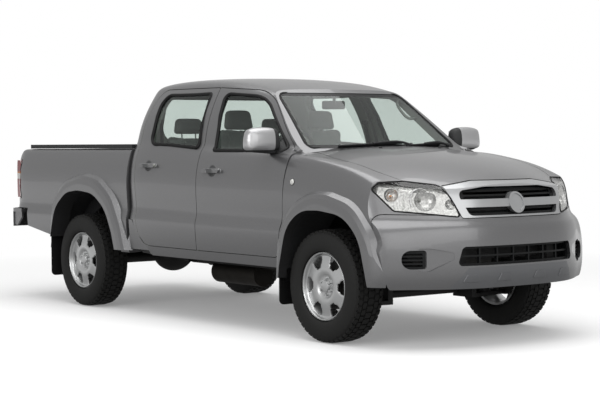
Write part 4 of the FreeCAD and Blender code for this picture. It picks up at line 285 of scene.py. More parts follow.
# Two tones, toneMm, grainMm, depthMm, grain of cells, roughness, the shader's own values
finishes = {
    # moulded polypropylene with a fine spark-eroded grain: dull, near black
    "grainedPlastic": ("#1b1c1d", "#232425", 60, 2.0, 0.25, True, (0.55, 0.7), plastic),
    # smooth satin black ABS of the grille
    "satinBlackPlastic": ("#090a0b", "#101112", 40, 3.0, 0.05, False, (0.45, 0.55), satin),
    # soft-touch dash skin, leather grain
    "dashSkin": ("#4b4d4d", "#555757", 90, 2.5, 0.3, True, (0.6, 0.75), plastic),
    # paler moulded trim of the door cards
    "trimPlastic": ("#7f817c", "#888a85", 80, 2.2, 0.25, True, (0.6, 0.75), plastic),
    # brush-painted black steel under the body, with dull dusty patches
    "chassisPaint": ("#0f0f10", "#1c1b1a", 130, 4.0, 0.3, False, (0.5, 0.8), {}),
    # carbon-black filled rubber, faintly dusty
    "tyreRubber": ("#111110", "#1b1b1a", 45, 1.8, 0.15, False, (0.62, 0.8), {"Specular IOR Level": 0.35}),
    # soft black sealing rubber
    "sealRubber": ("#070707", "#0d0d0e", 30, 1.5, 0.1, False, (0.55, 0.7), satin),
    # cast aluminium under silver wheel paint
    "wheelSilver": ("#b6b7b7", "#c2c3c3", 70, 1.5, 0.03, False, (0.3, 0.4),
                    {"Metallic": 0.8, "Coat Weight": 0.4, "Coat Roughness": 0.08}),
    # bright satin silver paint of the grille surround
    "trimSilver": ("#a9aaab", "#b3b4b5", 60, 1.5, 0.02, False, (0.28, 0.34),
                   {"Metallic": 0.8, "Coat Weight": 0.5, "Coat Roughness": 0.05}),
    # body paint of the door handles, drawn lighter than the body paint as a painted highlight where the bars catch the
    # light
    "handlePaint": ("#8f9091", "#989999", 40, 1.5, 0.02, False, (0.26, 0.34),
                    {"Metallic": 0.7, "Coat Weight": 0.5, "Coat Roughness": 0.05}),
    # zinc-plated steel
    "zincPlate": ("#8b8c8a", "#797a78", 40, 2.0, 0.05, False, (0.25, 0.4), {"Metallic": 1.0}),
    # vacuum-metallised reflector, faceted to spread the beam; the near-black and white patches drifting in its colour
    # are painted reflections
    "brightPlating": ("#5f6061", "#fafafa", 11, 12.0, 1.8, True, (0.15, 0.3), {"Metallic": 0.7}, 0.8),
    # back-silvered mirror glass
    "mirrorSilver": ("#dfe2e3", "#d9dcdd", 100, 60.0, 0.01, False, (0.01, 0.02), {"Metallic": 1.0}),
    # sand-cast grey iron
    "castIron": ("#4d4c4a", "#3c3b39", 80, 2.0, 0.5, False, (0.55, 0.75), {"Metallic": 0.6}),
    # aluminised steel pipe, heat-stained
    "exhaustSteel": ("#33302c", "#24211d", 110, 3.0, 0.1, False, (0.5, 0.7), {"Metallic": 0.7}),
    # folded aluminium cooling fins
    "finnedAluminium": ("#5d5f60", "#4d4f50", 50, 3.0, 1.0, False, (0.4, 0.55), {"Metallic": 0.8}),
    # blow-moulded polyethylene tank
    "tankPlastic": ("#1d1e1f", "#28292a", 100, 5.0, 0.3, False, (0.5, 0.65), plastic),
    # milky polyethylene bottle
    "milkyPlastic": ("#d6d3c6", "#cbc8ba", 60, 4.0, 0.1, False, (0.35, 0.5), {"Subsurface Weight": 0.2}),
    # hide on the steering wheel rim
    "blackLeather": ("#1e1e1e", "#272727", 30, 1.6, 0.25, True, (0.45, 0.6), {}),
    # woven polyester webbing
    "beltWebbing": ("#2a2b2c", "#202122", 12, 2.0, 0.3, False, (0.7, 0.8), {}),
    # clear acrylic indicator lens over a white reflector
    "clearAcrylic": ("#cfcfcb", "#bdbdb9", 8, 3.0, 0.4, True, (0.05, 0.1), acrylic),
    # amber acrylic
    "amberAcrylic": ("#d98a3c", "#e39a4c", 25, 3.0, 0.2, True, (0.08, 0.12), acrylic),
    # satin silver paint on the skid panel
    "satinSilver": ("#6d6e70", "#757678", 60, 2.0, 0.05, False, (0.34, 0.42), {"Metallic": 0.7}),
}
made = {name: makeFinish(name, *look) for name, look in finishes.items()}
made["silverPaint"] = silverPaint("silverPaint", under=False)
made["silverPaintCab"] = silverPaint("silverPaintCab", inside=True)
made["silverPaintDoor"] = silverPaint("silverPaintDoor", inside=True, cups=True)
made["silverPaintBody"] = silverPaint("silverPaintBody")
made["tintedFloatGlass"] = thinGlass("tintedFloatGlass", glassLook["window"])
made["laminatedScreenGlass"] = thinGlass("laminatedScreenGlass", glassLook["window"], frit=True)
made["clearPolycarbonate"] = thinGlass("clearPolycarbonate", glassLook["lens"], 1.3, ribsMm=26)
made["knittedSeatCloth"] = seatCloth("knittedSeatCloth")
made["mirrorPaint"] = mirrorShell("mirrorPaint")
made["tailLampAcrylic"] = tailAcrylic("tailLampAcrylic")

wearers = {
    "silverPaint": "bonnet tailgate", "silverPaintCab": "cab_shell", "laminatedScreenGlass": "windscreen",
    "silverPaintBody": "front_fenders bumper_front cargo_bed bumper_rear", "satinSilver": "skid_panel",
    "trimSilver": "grille_panel", "clearPolycarbonate": "headlamp_lenses", "brightPlating": "headlamp_housings",
    "satinBlackPlastic": "grille_insert lower_grille fog_inserts", "tailLampAcrylic": "tail_lamps",
    "grainedPlastic": "cowl_panel wheelhouse_liners tailgate_handle bed_rail_caps", "sealRubber": "mud_flaps",
    "chassisPaint": "ladder_frame front_suspension rear_axle leaf_springs propshaft",
    "castIron": "engine gearbox knuckle", "tankPlastic": "fuel_tank", "exhaustSteel": "exhaust",
    "dashSkin": "dashboard", "blackLeather": "steering_wheel", "knittedSeatCloth": "front_seats rear_seat",
    "tyreRubber": "tyre spare_tyre", "wheelSilver": "rim spare_rim", "mirrorPaint": "mirror",
    "silverPaintDoor": "door", "tintedFloatGlass": "glass rear_window",
}
finishOf = {wearer: finish for finish, names in wearers.items() for wearer in names.split()}
for name, node in nodes.items():  # doors, panes, wheels, mirrors and knuckles go by their first word
    finish = finishOf.get(name) or finishOf[name.split("_")[0]]
    node.data.materials.clear()
    node.data.materials.append(made[finish])
print("finishes on the CAD nodes")


def newPiece(name, bm, finish, body, normals=True, smoothDeg=35):
    if normals:
        bmesh.ops.recalc_face_normals(bm, faces=bm.faces)
    mesh = bpy.data.meshes.new(name)
    bm.to_mesh(mesh)
    bm.free()
    piece = bpy.data.objects.new(name, mesh)
    scene.collection.objects.link(piece)
    mesh.materials.append(made[finish])
    mesh.shade_smooth()
    mesh.set_sharp_from_angle(angle=math.radians(smoothDeg))
    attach(piece, body)
    return piece


def addModifier(piece, kind, **settings):
    modifier = piece.modifiers.new(kind.lower(), kind)
    for name, value in settings.items():
        setattr(modifier, name, value)


# Turns (along, radius) points about the X axis and puts the result at place
def spinInto(bm, points, steps, place=Matrix.Identity(4), ring=False, fill=True):
    old = set(bm.verts)
    verts = [bm.verts.new((a, 0, r)) for a, r in points]
    pairs = list(zip(verts, verts[1:])) + ([(verts[-1], verts[0])] if ring else [])
    edges = [bm.edges.new(pair) for pair in pairs]
    bmesh.ops.spin(bm, geom=verts + edges, cent=(0, 0, 0), axis=(1, 0, 0), angle=2 * math.pi, steps=steps,
                   use_merge=True)
    fresh = [v for v in bm.verts if v not in old]
    if fill:
        bmesh.ops.holes_fill(bm, edges=list({e for v in fresh for e in v.link_edges if e.is_boundary}), sides=0)
    bmesh.ops.transform(bm, matrix=place, verts=fresh)


# A block with rounded edges; taper narrows its top in x and y
def blockInto(bm, low, high, radius, segments=3, taper=(1, 1), place=Matrix.Identity(4)):
    low, high = Vector(low), Vector(high)
    cube = bmesh.ops.create_cube(bm, size=1)["verts"]
    for vert in cube:
        if vert.co.z > 0:
            vert.co.x *= taper[0]
            vert.co.y *= taper[1]
    placed = place @ Matrix.Translation((low + high) / 2) @ Matrix.Diagonal((*(high - low), 1))
    bmesh.ops.transform(bm, matrix=placed, verts=cube)
    edges = list({e for v in cube for e in v.link_edges})
    bmesh.ops.bevel(bm, geom=edges, offset=radius, segments=segments, affect="EDGES", profile=0.5, material=-1)


# The same from a middle and a half size on each axis
def barInto(bm, centre, half, radius, segments=3, taper=(1, 1)):
    centre, half = Vector(centre), Vector(half)
    blockInto(bm, centre - half, centre + half, radius, segments, taper)


# A round rod that follows a smooth line through points
def rodInto(bm, points, radius, sides=3, ring=False, kind="NURBS"):
    curve = bpy.data.curves.new("line", "CURVE")
    curve.dimensions = "3D"
    curve.bevel_depth = radius
    curve.bevel_resolution = sides
    curve.use_fill_caps = True
    spline = curve.splines.new(kind)
    spline.points.add(len(points) - 1)
    for spot, point in zip(spline.points, points):
        spot.co = (*point, 1)
    spline.order_u = 3
    spline.use_endpoint_u = not ring
    spline.use_cyclic_u = ring
    holder = bpy.data.objects.new("line", curve)
    mesh = bpy.data.meshes.new_from_object(holder)
    bm.from_mesh(mesh)
    bpy.data.objects.remove(holder)
    bpy.data.curves.remove(curve)
    bpy.data.meshes.remove(mesh)


# Gives faces a thickness along move
def pushOut(bm, faces, move):
    grown = bmesh.ops.extrude_face_region(bm, geom=faces)["geom"]
    bmesh.ops.translate(bm, vec=move, verts=[v for v in grown if isinstance(v, bmesh.types.BMVert)])


# Where a line from start along way first meets a CAD node, and which way its face looks
def touch(name, start, way):
    found, spot, normal, face = nodes[name].ray_cast(Vector(start), Vector(way).normalized())
    return (spot, normal) if found else (None, None)


def touchSide(name, side, y, z):
    return touch(name, (side * 1.5, y, z), (-side, 0, 0))


def turnedTo(spot, way, along="X"):
    upright = "Y" if along == "Z" else "Z"
    return Matrix.Translation(spot) @ Vector(way).to_track_quat(along, upright).to_matrix().to_4x4()


tyreLook = {
    "steps": 192, "blockSteps": 4, "blockDepth": 0.0085, "lugDepth": 0.002, "shiftPerMetre": 60,
    "crown": 0.3535, "crownFrom": 0.06, "crownFall": 0.25,
    "treadAbove": 0.345, "rows": ((-1, 0.023), (0.030, 0.059), (0.066, 0.097)), "lugBand": (0.3375, 0.346), "lugFrom": 0.1,
    "side": ((0.083, 0.2200), (0.106, 0.2275), (0.1105, 0.2345), (0.1165, 0.2500), (0.1175, 0.2800), (0.1160, 0.3050),
             (0.1120, 0.3240), (0.1070, 0.3370), (0.0960, 0.3475)),
    "ribs": (0.0880, 0.0660, 0.0590, 0.0300, 0.0230),
    "lining": ((0.092, 0.2400), (0.098, 0.2800), (0.080, 0.3350)),
}


def makeTyre(name, place, body, node):
    look = tyreLook
    half = list(look["side"])
    half += [(x, look["crown"] - look["crownFall"] * max(0, x - look["crownFrom"])) for x in look["ribs"]]
    outer = [(-x, r) for x, r in half] + [(x, r) for x, r in reversed(half)]
    bm = bmesh.new()
    lining = list(look["lining"]) + [(-x, r) for x, r in reversed(look["lining"])]
    spinInto(bm, outer + lining, look["steps"], ring=True)
    bmesh.ops.recalc_face_normals(bm, faces=bm.faces)
    blocks, lugs = [], []
    for face in bm.faces:
        c = face.calc_center_median()
        r, x = math.hypot(c.y, c.z), abs(c.x)
        step = int((math.atan2(c.y, c.z) % (2 * math.pi)) * look["steps"] / (2 * math.pi))
        shift = int(c.x * look["shiftPerMetre"]) * (1 if c.x > 0 else -1)
        if face.normal.y * c.y + face.normal.z * c.z < 0 or (step + shift) % look["blockSteps"] == 0:
            continue  # the lining's side, or a groove across the tread
        if r > look["treadAbove"] and any(a < x < b for a, b in look["rows"]):
            blocks.append(face)
        elif look["lugBand"][0] < r < look["lugBand"][1] and x > look["lugFrom"]:
            lugs.append(face)
    for faces, depth in ((blocks, look["blockDepth"]), (lugs, look["lugDepth"])):
        grown = bmesh.ops.extrude_face_region(bm, geom=faces)
        for vert in [v for v in grown["geom"] if isinstance(v, bmesh.types.BMVert)]:
            vert.co += Vector((0, vert.co.y, vert.co.z)).normalized() * depth
    bmesh.ops.transform(bm, matrix=place, verts=bm.verts)
    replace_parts(newPiece(name, bm, "tyreRubber", body, normals=False), node)


wheelLook = {
    "steps": 72, "barrelSteps": 96, "capSteps": 48, "wall": 0.014,
    "windows": 6, "windowRadii": (0.1280, 0.1960), "stepsIn": 2, "stepsOut": 3, "widerFrom": 0.150,
    "face": ((0.0990, 0.2180), (0.1010, 0.2140), (0.0960, 0.2080), (0.0800, 0.2040), (0.0740, 0.1960), (0.0765, 0.1780),
             (0.0820, 0.1520), (0.0870, 0.1280), (0.0885, 0.1080), (0.0880, 0.0900), (0.0830, 0.0780), (0.0750, 0.0720),
             (0.0730, 0.0600), (0.0730, 0.0340), (0.0730, 0.0100)),
    "barrel": ((0.0990, 0.2180), (0.0800, 0.2070), (0.0300, 0.1910), (-0.0300, 0.1910), (-0.0860, 0.2070),
               (-0.0990, 0.2180), (-0.0960, 0.2040), (-0.0300, 0.1860), (0.0300, 0.1860), (0.0780, 0.2010)),
    "cap": ((0.070, 0.0390), (0.084, 0.0380), (0.0905, 0.0345), (0.0925, 0.0280), (0.0930, 0.0004)),
    "seat": 0.070, "nutCircle": 0.052, "nuts": 6, "nutRadius": 0.0105, "nutTip": 0.9, "nutHeight": 0.020,
}


def makeWheel(name, place, body, node):
    look = wheelLook
    bm = bmesh.new()
    spinInto(bm, look["face"], look["steps"], fill=False)
    sector = 2 * math.pi / look["windows"]
    gone = []
    for face in bm.faces:
        c = face.calc_center_median()
        r = math.hypot(c.y, c.z)
        off = abs((math.atan2(c.y, c.z) % sector) - sector / 2)
        reach = look["stepsIn"] if r < look["widerFrom"] else look["stepsOut"]
        if look["windowRadii"][0] < r < look["windowRadii"][1] and off < reach * 2 * math.pi / look["steps"]:
            gone.append(face)
    bmesh.ops.delete(bm, geom=gone, context="FACES")
    bmesh.ops.recalc_face_normals(bm, faces=bm.faces)
    if sum(f.normal.x for f in bm.faces) < 0:
        bmesh.ops.reverse_faces(bm, faces=bm.faces)
    bmesh.ops.solidify(bm, geom=bm.faces[:], thickness=look["wall"])
    bmesh.ops.transform(bm, matrix=place, verts=bm.verts)
    disc = newPiece(name, bm, "wheelSilver", body)
    addModifier(disc, "SUBSURF", levels=1, render_levels=1)
    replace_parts(disc, node)
    bm = bmesh.new()
    spinInto(bm, look["barrel"], look["barrelSteps"], ring=True)
    for k in range(look["nuts"]):
        turn = Matrix.Rotation(k * 2 * math.pi / look["nuts"], 4, "X")
        spot = turn @ Matrix.Translation((look["seat"] + look["nutHeight"] / 2, 0, look["nutCircle"])) @ quarterTurn
        bmesh.ops.create_cone(bm, cap_ends=True, segments=6, radius1=look["nutRadius"],
                              radius2=look["nutRadius"] * look["nutTip"], depth=look["nutHeight"], matrix=spot)
    spinInto(bm, look["cap"], look["capSteps"])
    bmesh.ops.transform(bm, matrix=place, verts=bm.verts)
    newPiece(name + "Barrel", bm, "wheelSilver", body)


quarterTurn = Matrix.Rotation(math.pi / 2, 4, "Y")
for hand, side in sides:
    for row in ("front", "rear"):
        tail = "%s_%s" % (row, hand)
        place = Matrix.Translation(middle("tyre_" + tail)) @ Matrix.Rotation(math.pi if side < 0 else 0, 4, "Z")
        makeTyre("tyreTread_" + tail, place, "wheel_" + tail, "tyre_" + tail)
        makeWheel("wheelDisc_" + tail, place, "wheel_" + tail, "rim_" + tail)
makeTyre("tyreTreadSpare", Matrix.Translation(middle("spare_tyre")) @ quarterTurn, "chassis", "spare_tyre")
print("wheels and tyres")

# Rubber round the panes: a bead just inside the line where the pane meets its frame
sealLook = {"sameSpot": 0.004,
            "door": {"radius": 0.0130, "inset": 0.0115, "proud": 0.0065},
            "screen": {"radius": 0.0085, "inset": 0.0070, "proud": 0.0010},
            "lamp": {"radius": 0.0040, "inset": 0.0010, "proud": 0.0005}}


# across, up and out number the axes; sign says which way the outside looks along out
def makeSeal(name, body, pane, across, up, out, sign, look, half=0):
    points = [v.co for v in nodes[pane].data.vertices if half == 0 or v.co.x * half > 0]
    centre = sum((Vector(p) for p in points), Vector()) / len(points)
    line = []
    for index in convex_hull_2d([(p[across], p[up]) for p in points]):
        corner = points[index]
        near = [p for p in points if abs(p[across] - corner[across]) + abs(p[up] - corner[up]) < sealLook["sameSpot"]]
        best = max(near, key=lambda p: sign * p[out]).copy()
        inward = centre - best
        inward[out] = 0
        best += inward.normalized() * look["inset"]
        best[out] += sign * look["proud"]
        if not line or (best - line[-1]).length > sealLook["sameSpot"]:
            line.append(best)
    bm = bmesh.new()
    rodInto(bm, line, look["radius"], ring=True, kind="POLY")
    newPiece(name, bm, "sealRubber", body, smoothDeg=60)


for hand, side in sides:
    for row in ("front", "rear"):
        tail = "_%s_%s" % (row, hand)
        makeSeal("seal" + tail, "door" + tail, "glass" + tail, 1, 2, 0, side, sealLook["door"])
    makeSeal("lampGasket_" + hand, "chassis", "headlamp_lenses", 0, 2, 1, -1, sealLook["lamp"], side)
makeSeal("sealWindscreen", "chassis", "windscreen", 0, 2, 1, -1, sealLook["screen"])
makeSeal("sealRearWindow", "chassis", "rear_window", 0, 2, 1, 1, sealLook["screen"])
print("window and lamp seals")

# Wipers, parked along the foot of the screen
wiperLook = {"blades": (((-0.440, 1.246), (0.095, 1.262), (0.150, 1.243)),
                        ((0.110, 1.244), (0.490, 1.255), (0.560, 1.241))),
             "lift": 0.016, "rubber": 0.0035, "spine": 0.0055, "arm": 0.0085,
             "pivot": ((-0.018, 0.013), (0.006, 0.014), (0.012, 0.011), (0.013, 0.0005))}


def screenSpot(x, z, lift):
    spot, normal = touch("windscreen", (x, -3, z), (0, 1, 0))
    return spot + normal * lift


bm = bmesh.new()
for tip, heel, pivot in wiperLook["blades"]:
    lift = wiperLook["lift"]
    run = [Vector((*tip, 0)).lerp(Vector((*heel, 0)), k / 6) for k in range(7)]
    rodInto(bm, [screenSpot(p.x, p.y, wiperLook["rubber"]) for p in run], wiperLook["rubber"])
    rodInto(bm, [screenSpot(p.x, p.y, lift * (0.5 + 0.3 * math.sin(math.pi * k / 6))) for k, p in enumerate(run)],
            wiperLook["spine"])
    middleSpot = screenSpot((tip[0] + heel[0]) / 2, (tip[1] + heel[1]) / 2, lift)
    heelSpot = screenSpot(*heel, lift * 1.2)
    pivotSpot = screenSpot(*pivot, lift * 0.8)
    rodInto(bm, [pivotSpot, heelSpot, heelSpot.lerp(middleSpot, 0.5) + Vector((0, -0.006, 0.006)), middleSpot],
            wiperLook["arm"])
    spinInto(bm, wiperLook["pivot"], 20, turnedTo(pivotSpot, (0, -0.6, 0.8)))
newPiece("wipers", bm, "grainedPlastic", "chassis")

# Washer jets on the bonnet
jetLook = {"places": ((-0.200, -1.470), (0.330, -1.470)),
           "body": ((-0.006, 0.011), (0.004, 0.012), (0.009, 0.009), (0.011, 0.0005))}
bm = bmesh.new()
for x, y in jetLook["places"]:
    spinInto(bm, jetLook["body"], 20, turnedTo(*touch("bonnet", (x, y, 2), (0, 0, -1))))
newPiece("washerJets", bm, "grainedPlastic", "bonnet")

# Scuttle louvres under the wipers
louvreLook = {"each": 9, "apart": 0.058, "y": -1.395, "half": (0.020, 0.0035, 0.00275), "sink": 0.00025}
bm = bmesh.new()
for k in range(-louvreLook["each"], louvreLook["each"] + 1):
    spot, normal = touch("cowl_panel", (louvreLook["apart"] * k, louvreLook["y"], 2), (0, 0, -1))
    if spot:
        barInto(bm, spot - Vector((0, 0, louvreLook["sink"])), louvreLook["half"], 0.0015)
newPiece("scuttleLouvres", bm, "satinBlackPlastic", "chassis")
print("wipers and jets")

# Door mirrors: a loaf-shaped painted shell over a black foot that runs in to the door
mirrorShape = {"inner": 0.760, "outer": 1.052, "front": -1.184, "back": -1.026, "low": 1.210, "high": 1.382,
               "taper": (0.90, 0.84), "round": 0.036, "glassWide": 0.170, "glassHigh": 0.098, "glassLow": 1.251,
               "bow": 0.030, "bowBefore": -1.09, "foot": ((0.722, -1.130, 1.196), (0.990, -1.060, 1.240)),
               "slim": 0.020, "slimUnder": 1.225, "slimFrom": 0.80, "slimOver": 0.19,
               "plate": ((-1.168, 1.207), (-1.050, 1.207), (-1.070, 1.300), (-1.128, 1.250))}
for hand, side in sides:
    look = mirrorShape
    door, node = "door_front_" + hand, "mirror_" + hand
    flip = Matrix.Diagonal((side, 1, 1, 1))
    centre = (look["inner"] + look["outer"]) / 2
    bm = bmesh.new()
    blockInto(bm, (look["inner"], look["front"], look["low"]), (look["outer"], look["back"], look["high"]),
              look["round"], 1, look["taper"], flip)
    for vert in bm.verts:  # the face to the front bows out, the back stays flat
        wide = (abs(vert.co.x) - centre) / (look["outer"] - centre)
        if vert.co.y < look["bowBefore"]:
            vert.co.y += look["bow"] * wide * wide
    shell = newPiece("mirrorShell_" + hand, bm, "mirrorPaint", door)
    addModifier(shell, "SUBSURF", levels=3, render_levels=3)
    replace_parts(shell, node)
    bm = bmesh.new()
    blockInto(bm, (centre - look["glassWide"] / 2, look["back"] - 0.004, look["glassLow"]),
              (centre + look["glassWide"] / 2, look["back"] + 0.002, look["glassLow"] + look["glassHigh"]),
              0.0018, 2, place=flip)
    newPiece("mirrorGlass_" + hand, bm, "mirrorSilver", door)
    bm = bmesh.new()
    blockInto(bm, *look["foot"], 0.011, 3, (1.0, 0.9), flip)
    for vert in bm.verts:  # thinner towards the tip
        reach = (abs(vert.co.x) - look["slimFrom"]) / look["slimOver"]
        if vert.co.z < look["slimUnder"] and reach > 0:
            vert.co.z += look["slim"] * reach
    corners = []
    for y, z in look["plate"]:
        spot = touchSide("glass_front_" + hand, side, y, z)[0] or touchSide(door, side, y, z)[0]
        corners.append(bm.verts.new(spot + Vector((side * 0.001, 0, 0))))
    pushOut(bm, [bm.faces.new(corners)], (side * 0.007, 0, 0))
    newPiece("mirrorFoot_" + hand, bm, "grainedPlastic", door)
print("door mirrors")

# Pull handles on the doors: a rounded bar on two feet over its dished cup, a key cylinder in the front doors
handleLook = {"half": 0.104, "high": 0.0195, "behind": 0.007, "out": 0.025, "most": 0.8955, "slim": 0.28,
              "bow": 0.008, "bowFrom": 0.016, "foot": 0.094, "footHalf": 0.014, "above": 0.045, "lockApart": 0.135,
              "lock": ((-0.004, 0.0105), (0.0015, 0.0105), (0.0022, 0.0095), (0.0012, 0.0070), (0.0012, 0.0005))}
for hand, side in sides:
    flip = Matrix.Diagonal((side, 1, 1, 1))
    for (y, z), row in zip(paintLook["handles"], ("front", "rear")):
        door = "door_%s_%s" % (row, hand)
        skin = abs(touchSide(door, side, y, z + handleLook["above"])[0].x)
        half, high = handleLook["half"], handleLook["high"]
        near = skin + handleLook["behind"]
        far = min(near + handleLook["out"], handleLook["most"])
        bm = bmesh.new()
        blockInto(bm, (near, y - half, z - high), (far, y + half, z + high), 0.0085, 4, (1.0, 0.96), flip)
        for vert in bm.verts:  # ends slimmer than the middle, bowed to the hand
            t = (vert.co.y - y) / half
            vert.co.z = z + (vert.co.z - z) * (1 - handleLook["slim"] * t * t)
            if abs(vert.co.x) > skin + handleLook["bowFrom"]:
                vert.co.x -= side * handleLook["bow"] * t * t
        half = handleLook["footHalf"]
        for foot in (y - handleLook["foot"], y + handleLook["foot"]):
            blockInto(bm, (skin - 0.006, foot - half, z - half), (skin + half, foot + half, z + half), 0.005, 2,
                      place=flip)
        newPiece("pullHandle_%s_%s" % (row, hand), bm, "handlePaint", door)
    door = "door_front_" + hand
    y, z = paintLook["handles"][0]
    bm = bmesh.new()
    spot, normal = touchSide(door, side, y + handleLook["lockApart"], z)
    spinInto(bm, handleLook["lock"], 28, turnedTo(spot, (side, 0, 0)))
    newPiece("keyCylinder_" + hand, bm, "zincPlate", door)
print("door handles")

# Round side repeaters on the front wings
repeaterLook = {
    "place": (-1.379, 1.022), "finish": {"lens": "clearAcrylic", "rim": "grainedPlastic"},
    "lens": ((-0.003, 0.0200), (0.003, 0.0195), (0.007, 0.0150), (0.0088, 0.0080), (0.009, 0.0005)),
    "rim": ((-0.003, 0.0225), (0.0015, 0.0225), (0.003, 0.0212), (0.0025, 0.0195))}
for hand, side in sides:
    for part, finish in repeaterLook["finish"].items():
        bm = bmesh.new()
        spinInto(bm, repeaterLook[part], 36, turnedTo(*touchSide("front_fenders", side, *repeaterLook["place"])))
        newPiece("sideRepeater_%s_%s" % (part, hand), bm, finish, "chassis")

# Inside of the headlamps: three dishes with their bulbs, and the strip between indicator and beam
dishLook = {
    "beam": {"place": (0.620, 0.924), "radius": 0.073, "depth": 0.044, "bulb": "zincPlate", "facets": 26},
    "turn": {"place": (0.752, 0.950), "radius": 0.037, "depth": 0.026, "bulb": "amberAcrylic", "facets": 18},
    "side": {"place": (0.497, 0.898), "radius": 0.031, "depth": 0.022, "bulb": "clearAcrylic", "facets": 16},
    "behind": 0.0115, "rib": ((0.712, 0.862), (0.703, 0.905), (0.705, 0.950), (0.716, 0.992)),
    "bowl": ((-0.1, 0.90), (-0.42, 0.72), (-0.72, 0.48), (-0.92, 0.22), (-0.92, 0.14), (-1.1, 0.14), (-0.95, 0.55),
             (-0.5, 0.85)),
}
for hand, side in sides:
    for kind in ("beam", "turn", "side"):
        dish = dishLook[kind]
        x, z = dish["place"]
        spot, normal = touch("headlamp_lenses", (side * x, -4, z), (0, 1, 0))
        way = (normal + Vector((0, -1.2, 0))).normalized()
        r, d = dish["radius"], dish["depth"]
        mouth = turnedTo(spot - way * (dishLook["behind"] + 0.5 * r * math.sin(normal.angle(way))), way)
        bm = bmesh.new()
        lip = [(0, r), (0.003, r * 0.985), (0.003, r * 0.93)]
        spinInto(bm, lip + [(a * d, b * r) for a, b in dishLook["bowl"]], dish["facets"], mouth, ring=True)
        newPiece("lampBowl_%s_%s" % (kind, hand), bm, "brightPlating", "chassis", smoothDeg=6)
        bm = bmesh.new()
        bulb = ((-0.9 * d, r * 0.15), (-0.35 * d, r * 0.17), (-0.12 * d, r * 0.14), (-0.02 * d, r * 0.08), (0, 0.0004))
        spinInto(bm, bulb, 24, mouth)
        newPiece("lampBulb_%s_%s" % (kind, hand), bm, dish["bulb"], "chassis")
    bm = bmesh.new()
    run = [touch("headlamp_lenses", (side * x, -4, z), (0, 1, 0))[0] for x, z in dishLook["rib"]]
    rodInto(bm, [p + Vector((0, 0.009, 0)) for p in run], 0.0028)
    newPiece("lampRib_" + hand, bm, "zincPlate", "chassis")
print("headlamp insides")

# Cabin: padded seats, swelled by cloth simulation from slightly smaller shapes
seatLook = {
    "voxel": 0.006, "pressure": 4.0, "frames": 20, "cap": 0.022, "fill": 0.75, "seamDeep": 0.008, "seamWide": 0.012,
    "frontX": 0.380, "benchX": 0.3035, "restX": 0.405, "post": 0.0055, "postApart": 0.062,
    "cushion": {"wide": 0.468, "y": (-0.630, -0.200), "z": (0.725, 0.850), "round": 0.045, "seams": (-0.135, 0.135)},
    "back": {"wide": 0.448, "y": (-0.200, -0.112), "z": (0.862, 1.382), "round": 0.040, "lean": 0.080, "top": 0.78,
             "seams": (-0.125, 0.125)},
    "rest": {"wide": 0.250, "y": (-0.112, -0.044), "z": (1.372, 1.512), "round": 0.031, "lean": 0.010, "top": 0.80},
    "benchCushion": {"wide": 0.588, "y": (0.095, 0.478), "z": (0.725, 0.850), "round": 0.045, "seams": (-0.170, 0.170)},
    "benchBack": {"wide": 0.588, "y": (0.492, 0.560), "z": (0.866, 1.335), "round": 0.031, "lean": 0.020,
                  "seams": (-0.170, 0.170)},
    "benchRest": {"wide": 0.258, "y": (0.520, 0.580), "z": (1.346, 1.462), "round": 0.027, "lean": 0.004, "top": 0.84},
    "pads": (("frontCushion_", "cushion", "frontX", "front_seats"), ("frontBack_", "back", "frontX", "front_seats"),
             ("frontRest_", "rest", "frontX", "front_seats"), ("benchCushion_", "benchCushion", "benchX", "rear_seat"),
             ("benchBack_", "benchBack", "benchX", "rear_seat"), ("benchRest_", "benchRest", "restX", "rear_seat")),
}


def bakeModifiers(piece):
    graph = bpy.context.evaluated_depsgraph_get()
    piece.data = bpy.data.meshes.new_from_object(piece.evaluated_get(graph))
    piece.modifiers.clear()


# Builds one pad at x = 0: a rounded block, leant back and narrower at the top, remeshed, swelled and seamed
def makePad(name, part):
    bm = bmesh.new()
    blockInto(bm, (-part["wide"] / 2, part["y"][0], part["z"][0]), (part["wide"] / 2, part["y"][1], part["z"][1]),
              part["round"], 5, (part.get("top", 1), 1))
    for vert in bm.verts:
        vert.co.y += part.get("lean", 0) * (vert.co.z - part["z"][0]) / (part["z"][1] - part["z"][0])
    mesh = bpy.data.meshes.new(name)
    bm.to_mesh(mesh)
    bm.free()
    pad = bpy.data.objects.new(name, mesh)
    scene.collection.objects.link(pad)
    addModifier(pad, "REMESH", mode="VOXEL", voxel_size=seatLook["voxel"])
    bakeModifiers(pad)
    before = [v.co.copy() for v in pad.data.vertices]
    cloth = pad.modifiers.new("cloth", "CLOTH")
    cloth.settings.use_pressure = True
    cloth.settings.uniform_pressure_force = seatLook["pressure"]
    cloth.settings.effector_weights.gravity = 0
    for step in range(1, seatLook["frames"] + 1):
        scene.frame_set(step)
    bakeModifiers(pad)
    scene.frame_set(1)
    for vert, old in zip(pad.data.vertices, before):
        move = vert.co - old
        if move.length > seatLook["cap"]:
            vert.co = old + move * (seatLook["cap"] / move.length)
    normals = [v.normal.copy() for v in pad.data.vertices]
    for vert, normal in zip(pad.data.vertices, normals):
        for seam in part.get("seams", ()):
            off = abs(vert.co.x - seam) / seatLook["seamWide"]
            if off < 1:
                vert.co -= normal * seatLook["seamDeep"] * (1 - off * off) ** 2
    scene.collection.objects.unlink(pad)
    return pad.data


padOf = {row[1]: makePad(row[1], seatLook[row[1]]) for row in seatLook["pads"]}
print("pads swelled")
for hand, side in sides:
    for name, kind, across, node in seatLook["pads"]:
        pad = bpy.data.objects.new(name + hand, padOf[kind].copy())
        scene.collection.objects.link(pad)
        pad.data.transform(Matrix.Translation((side * seatLook[across], 0, 0)))
        pad.data.materials.clear()
        pad.data.materials.append(made["knittedSeatCloth"])
        pad.data.shade_smooth()
        addModifier(pad, "SUBSURF", levels=1, render_levels=1)
        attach(pad, "chassis")
        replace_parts(pad, node)

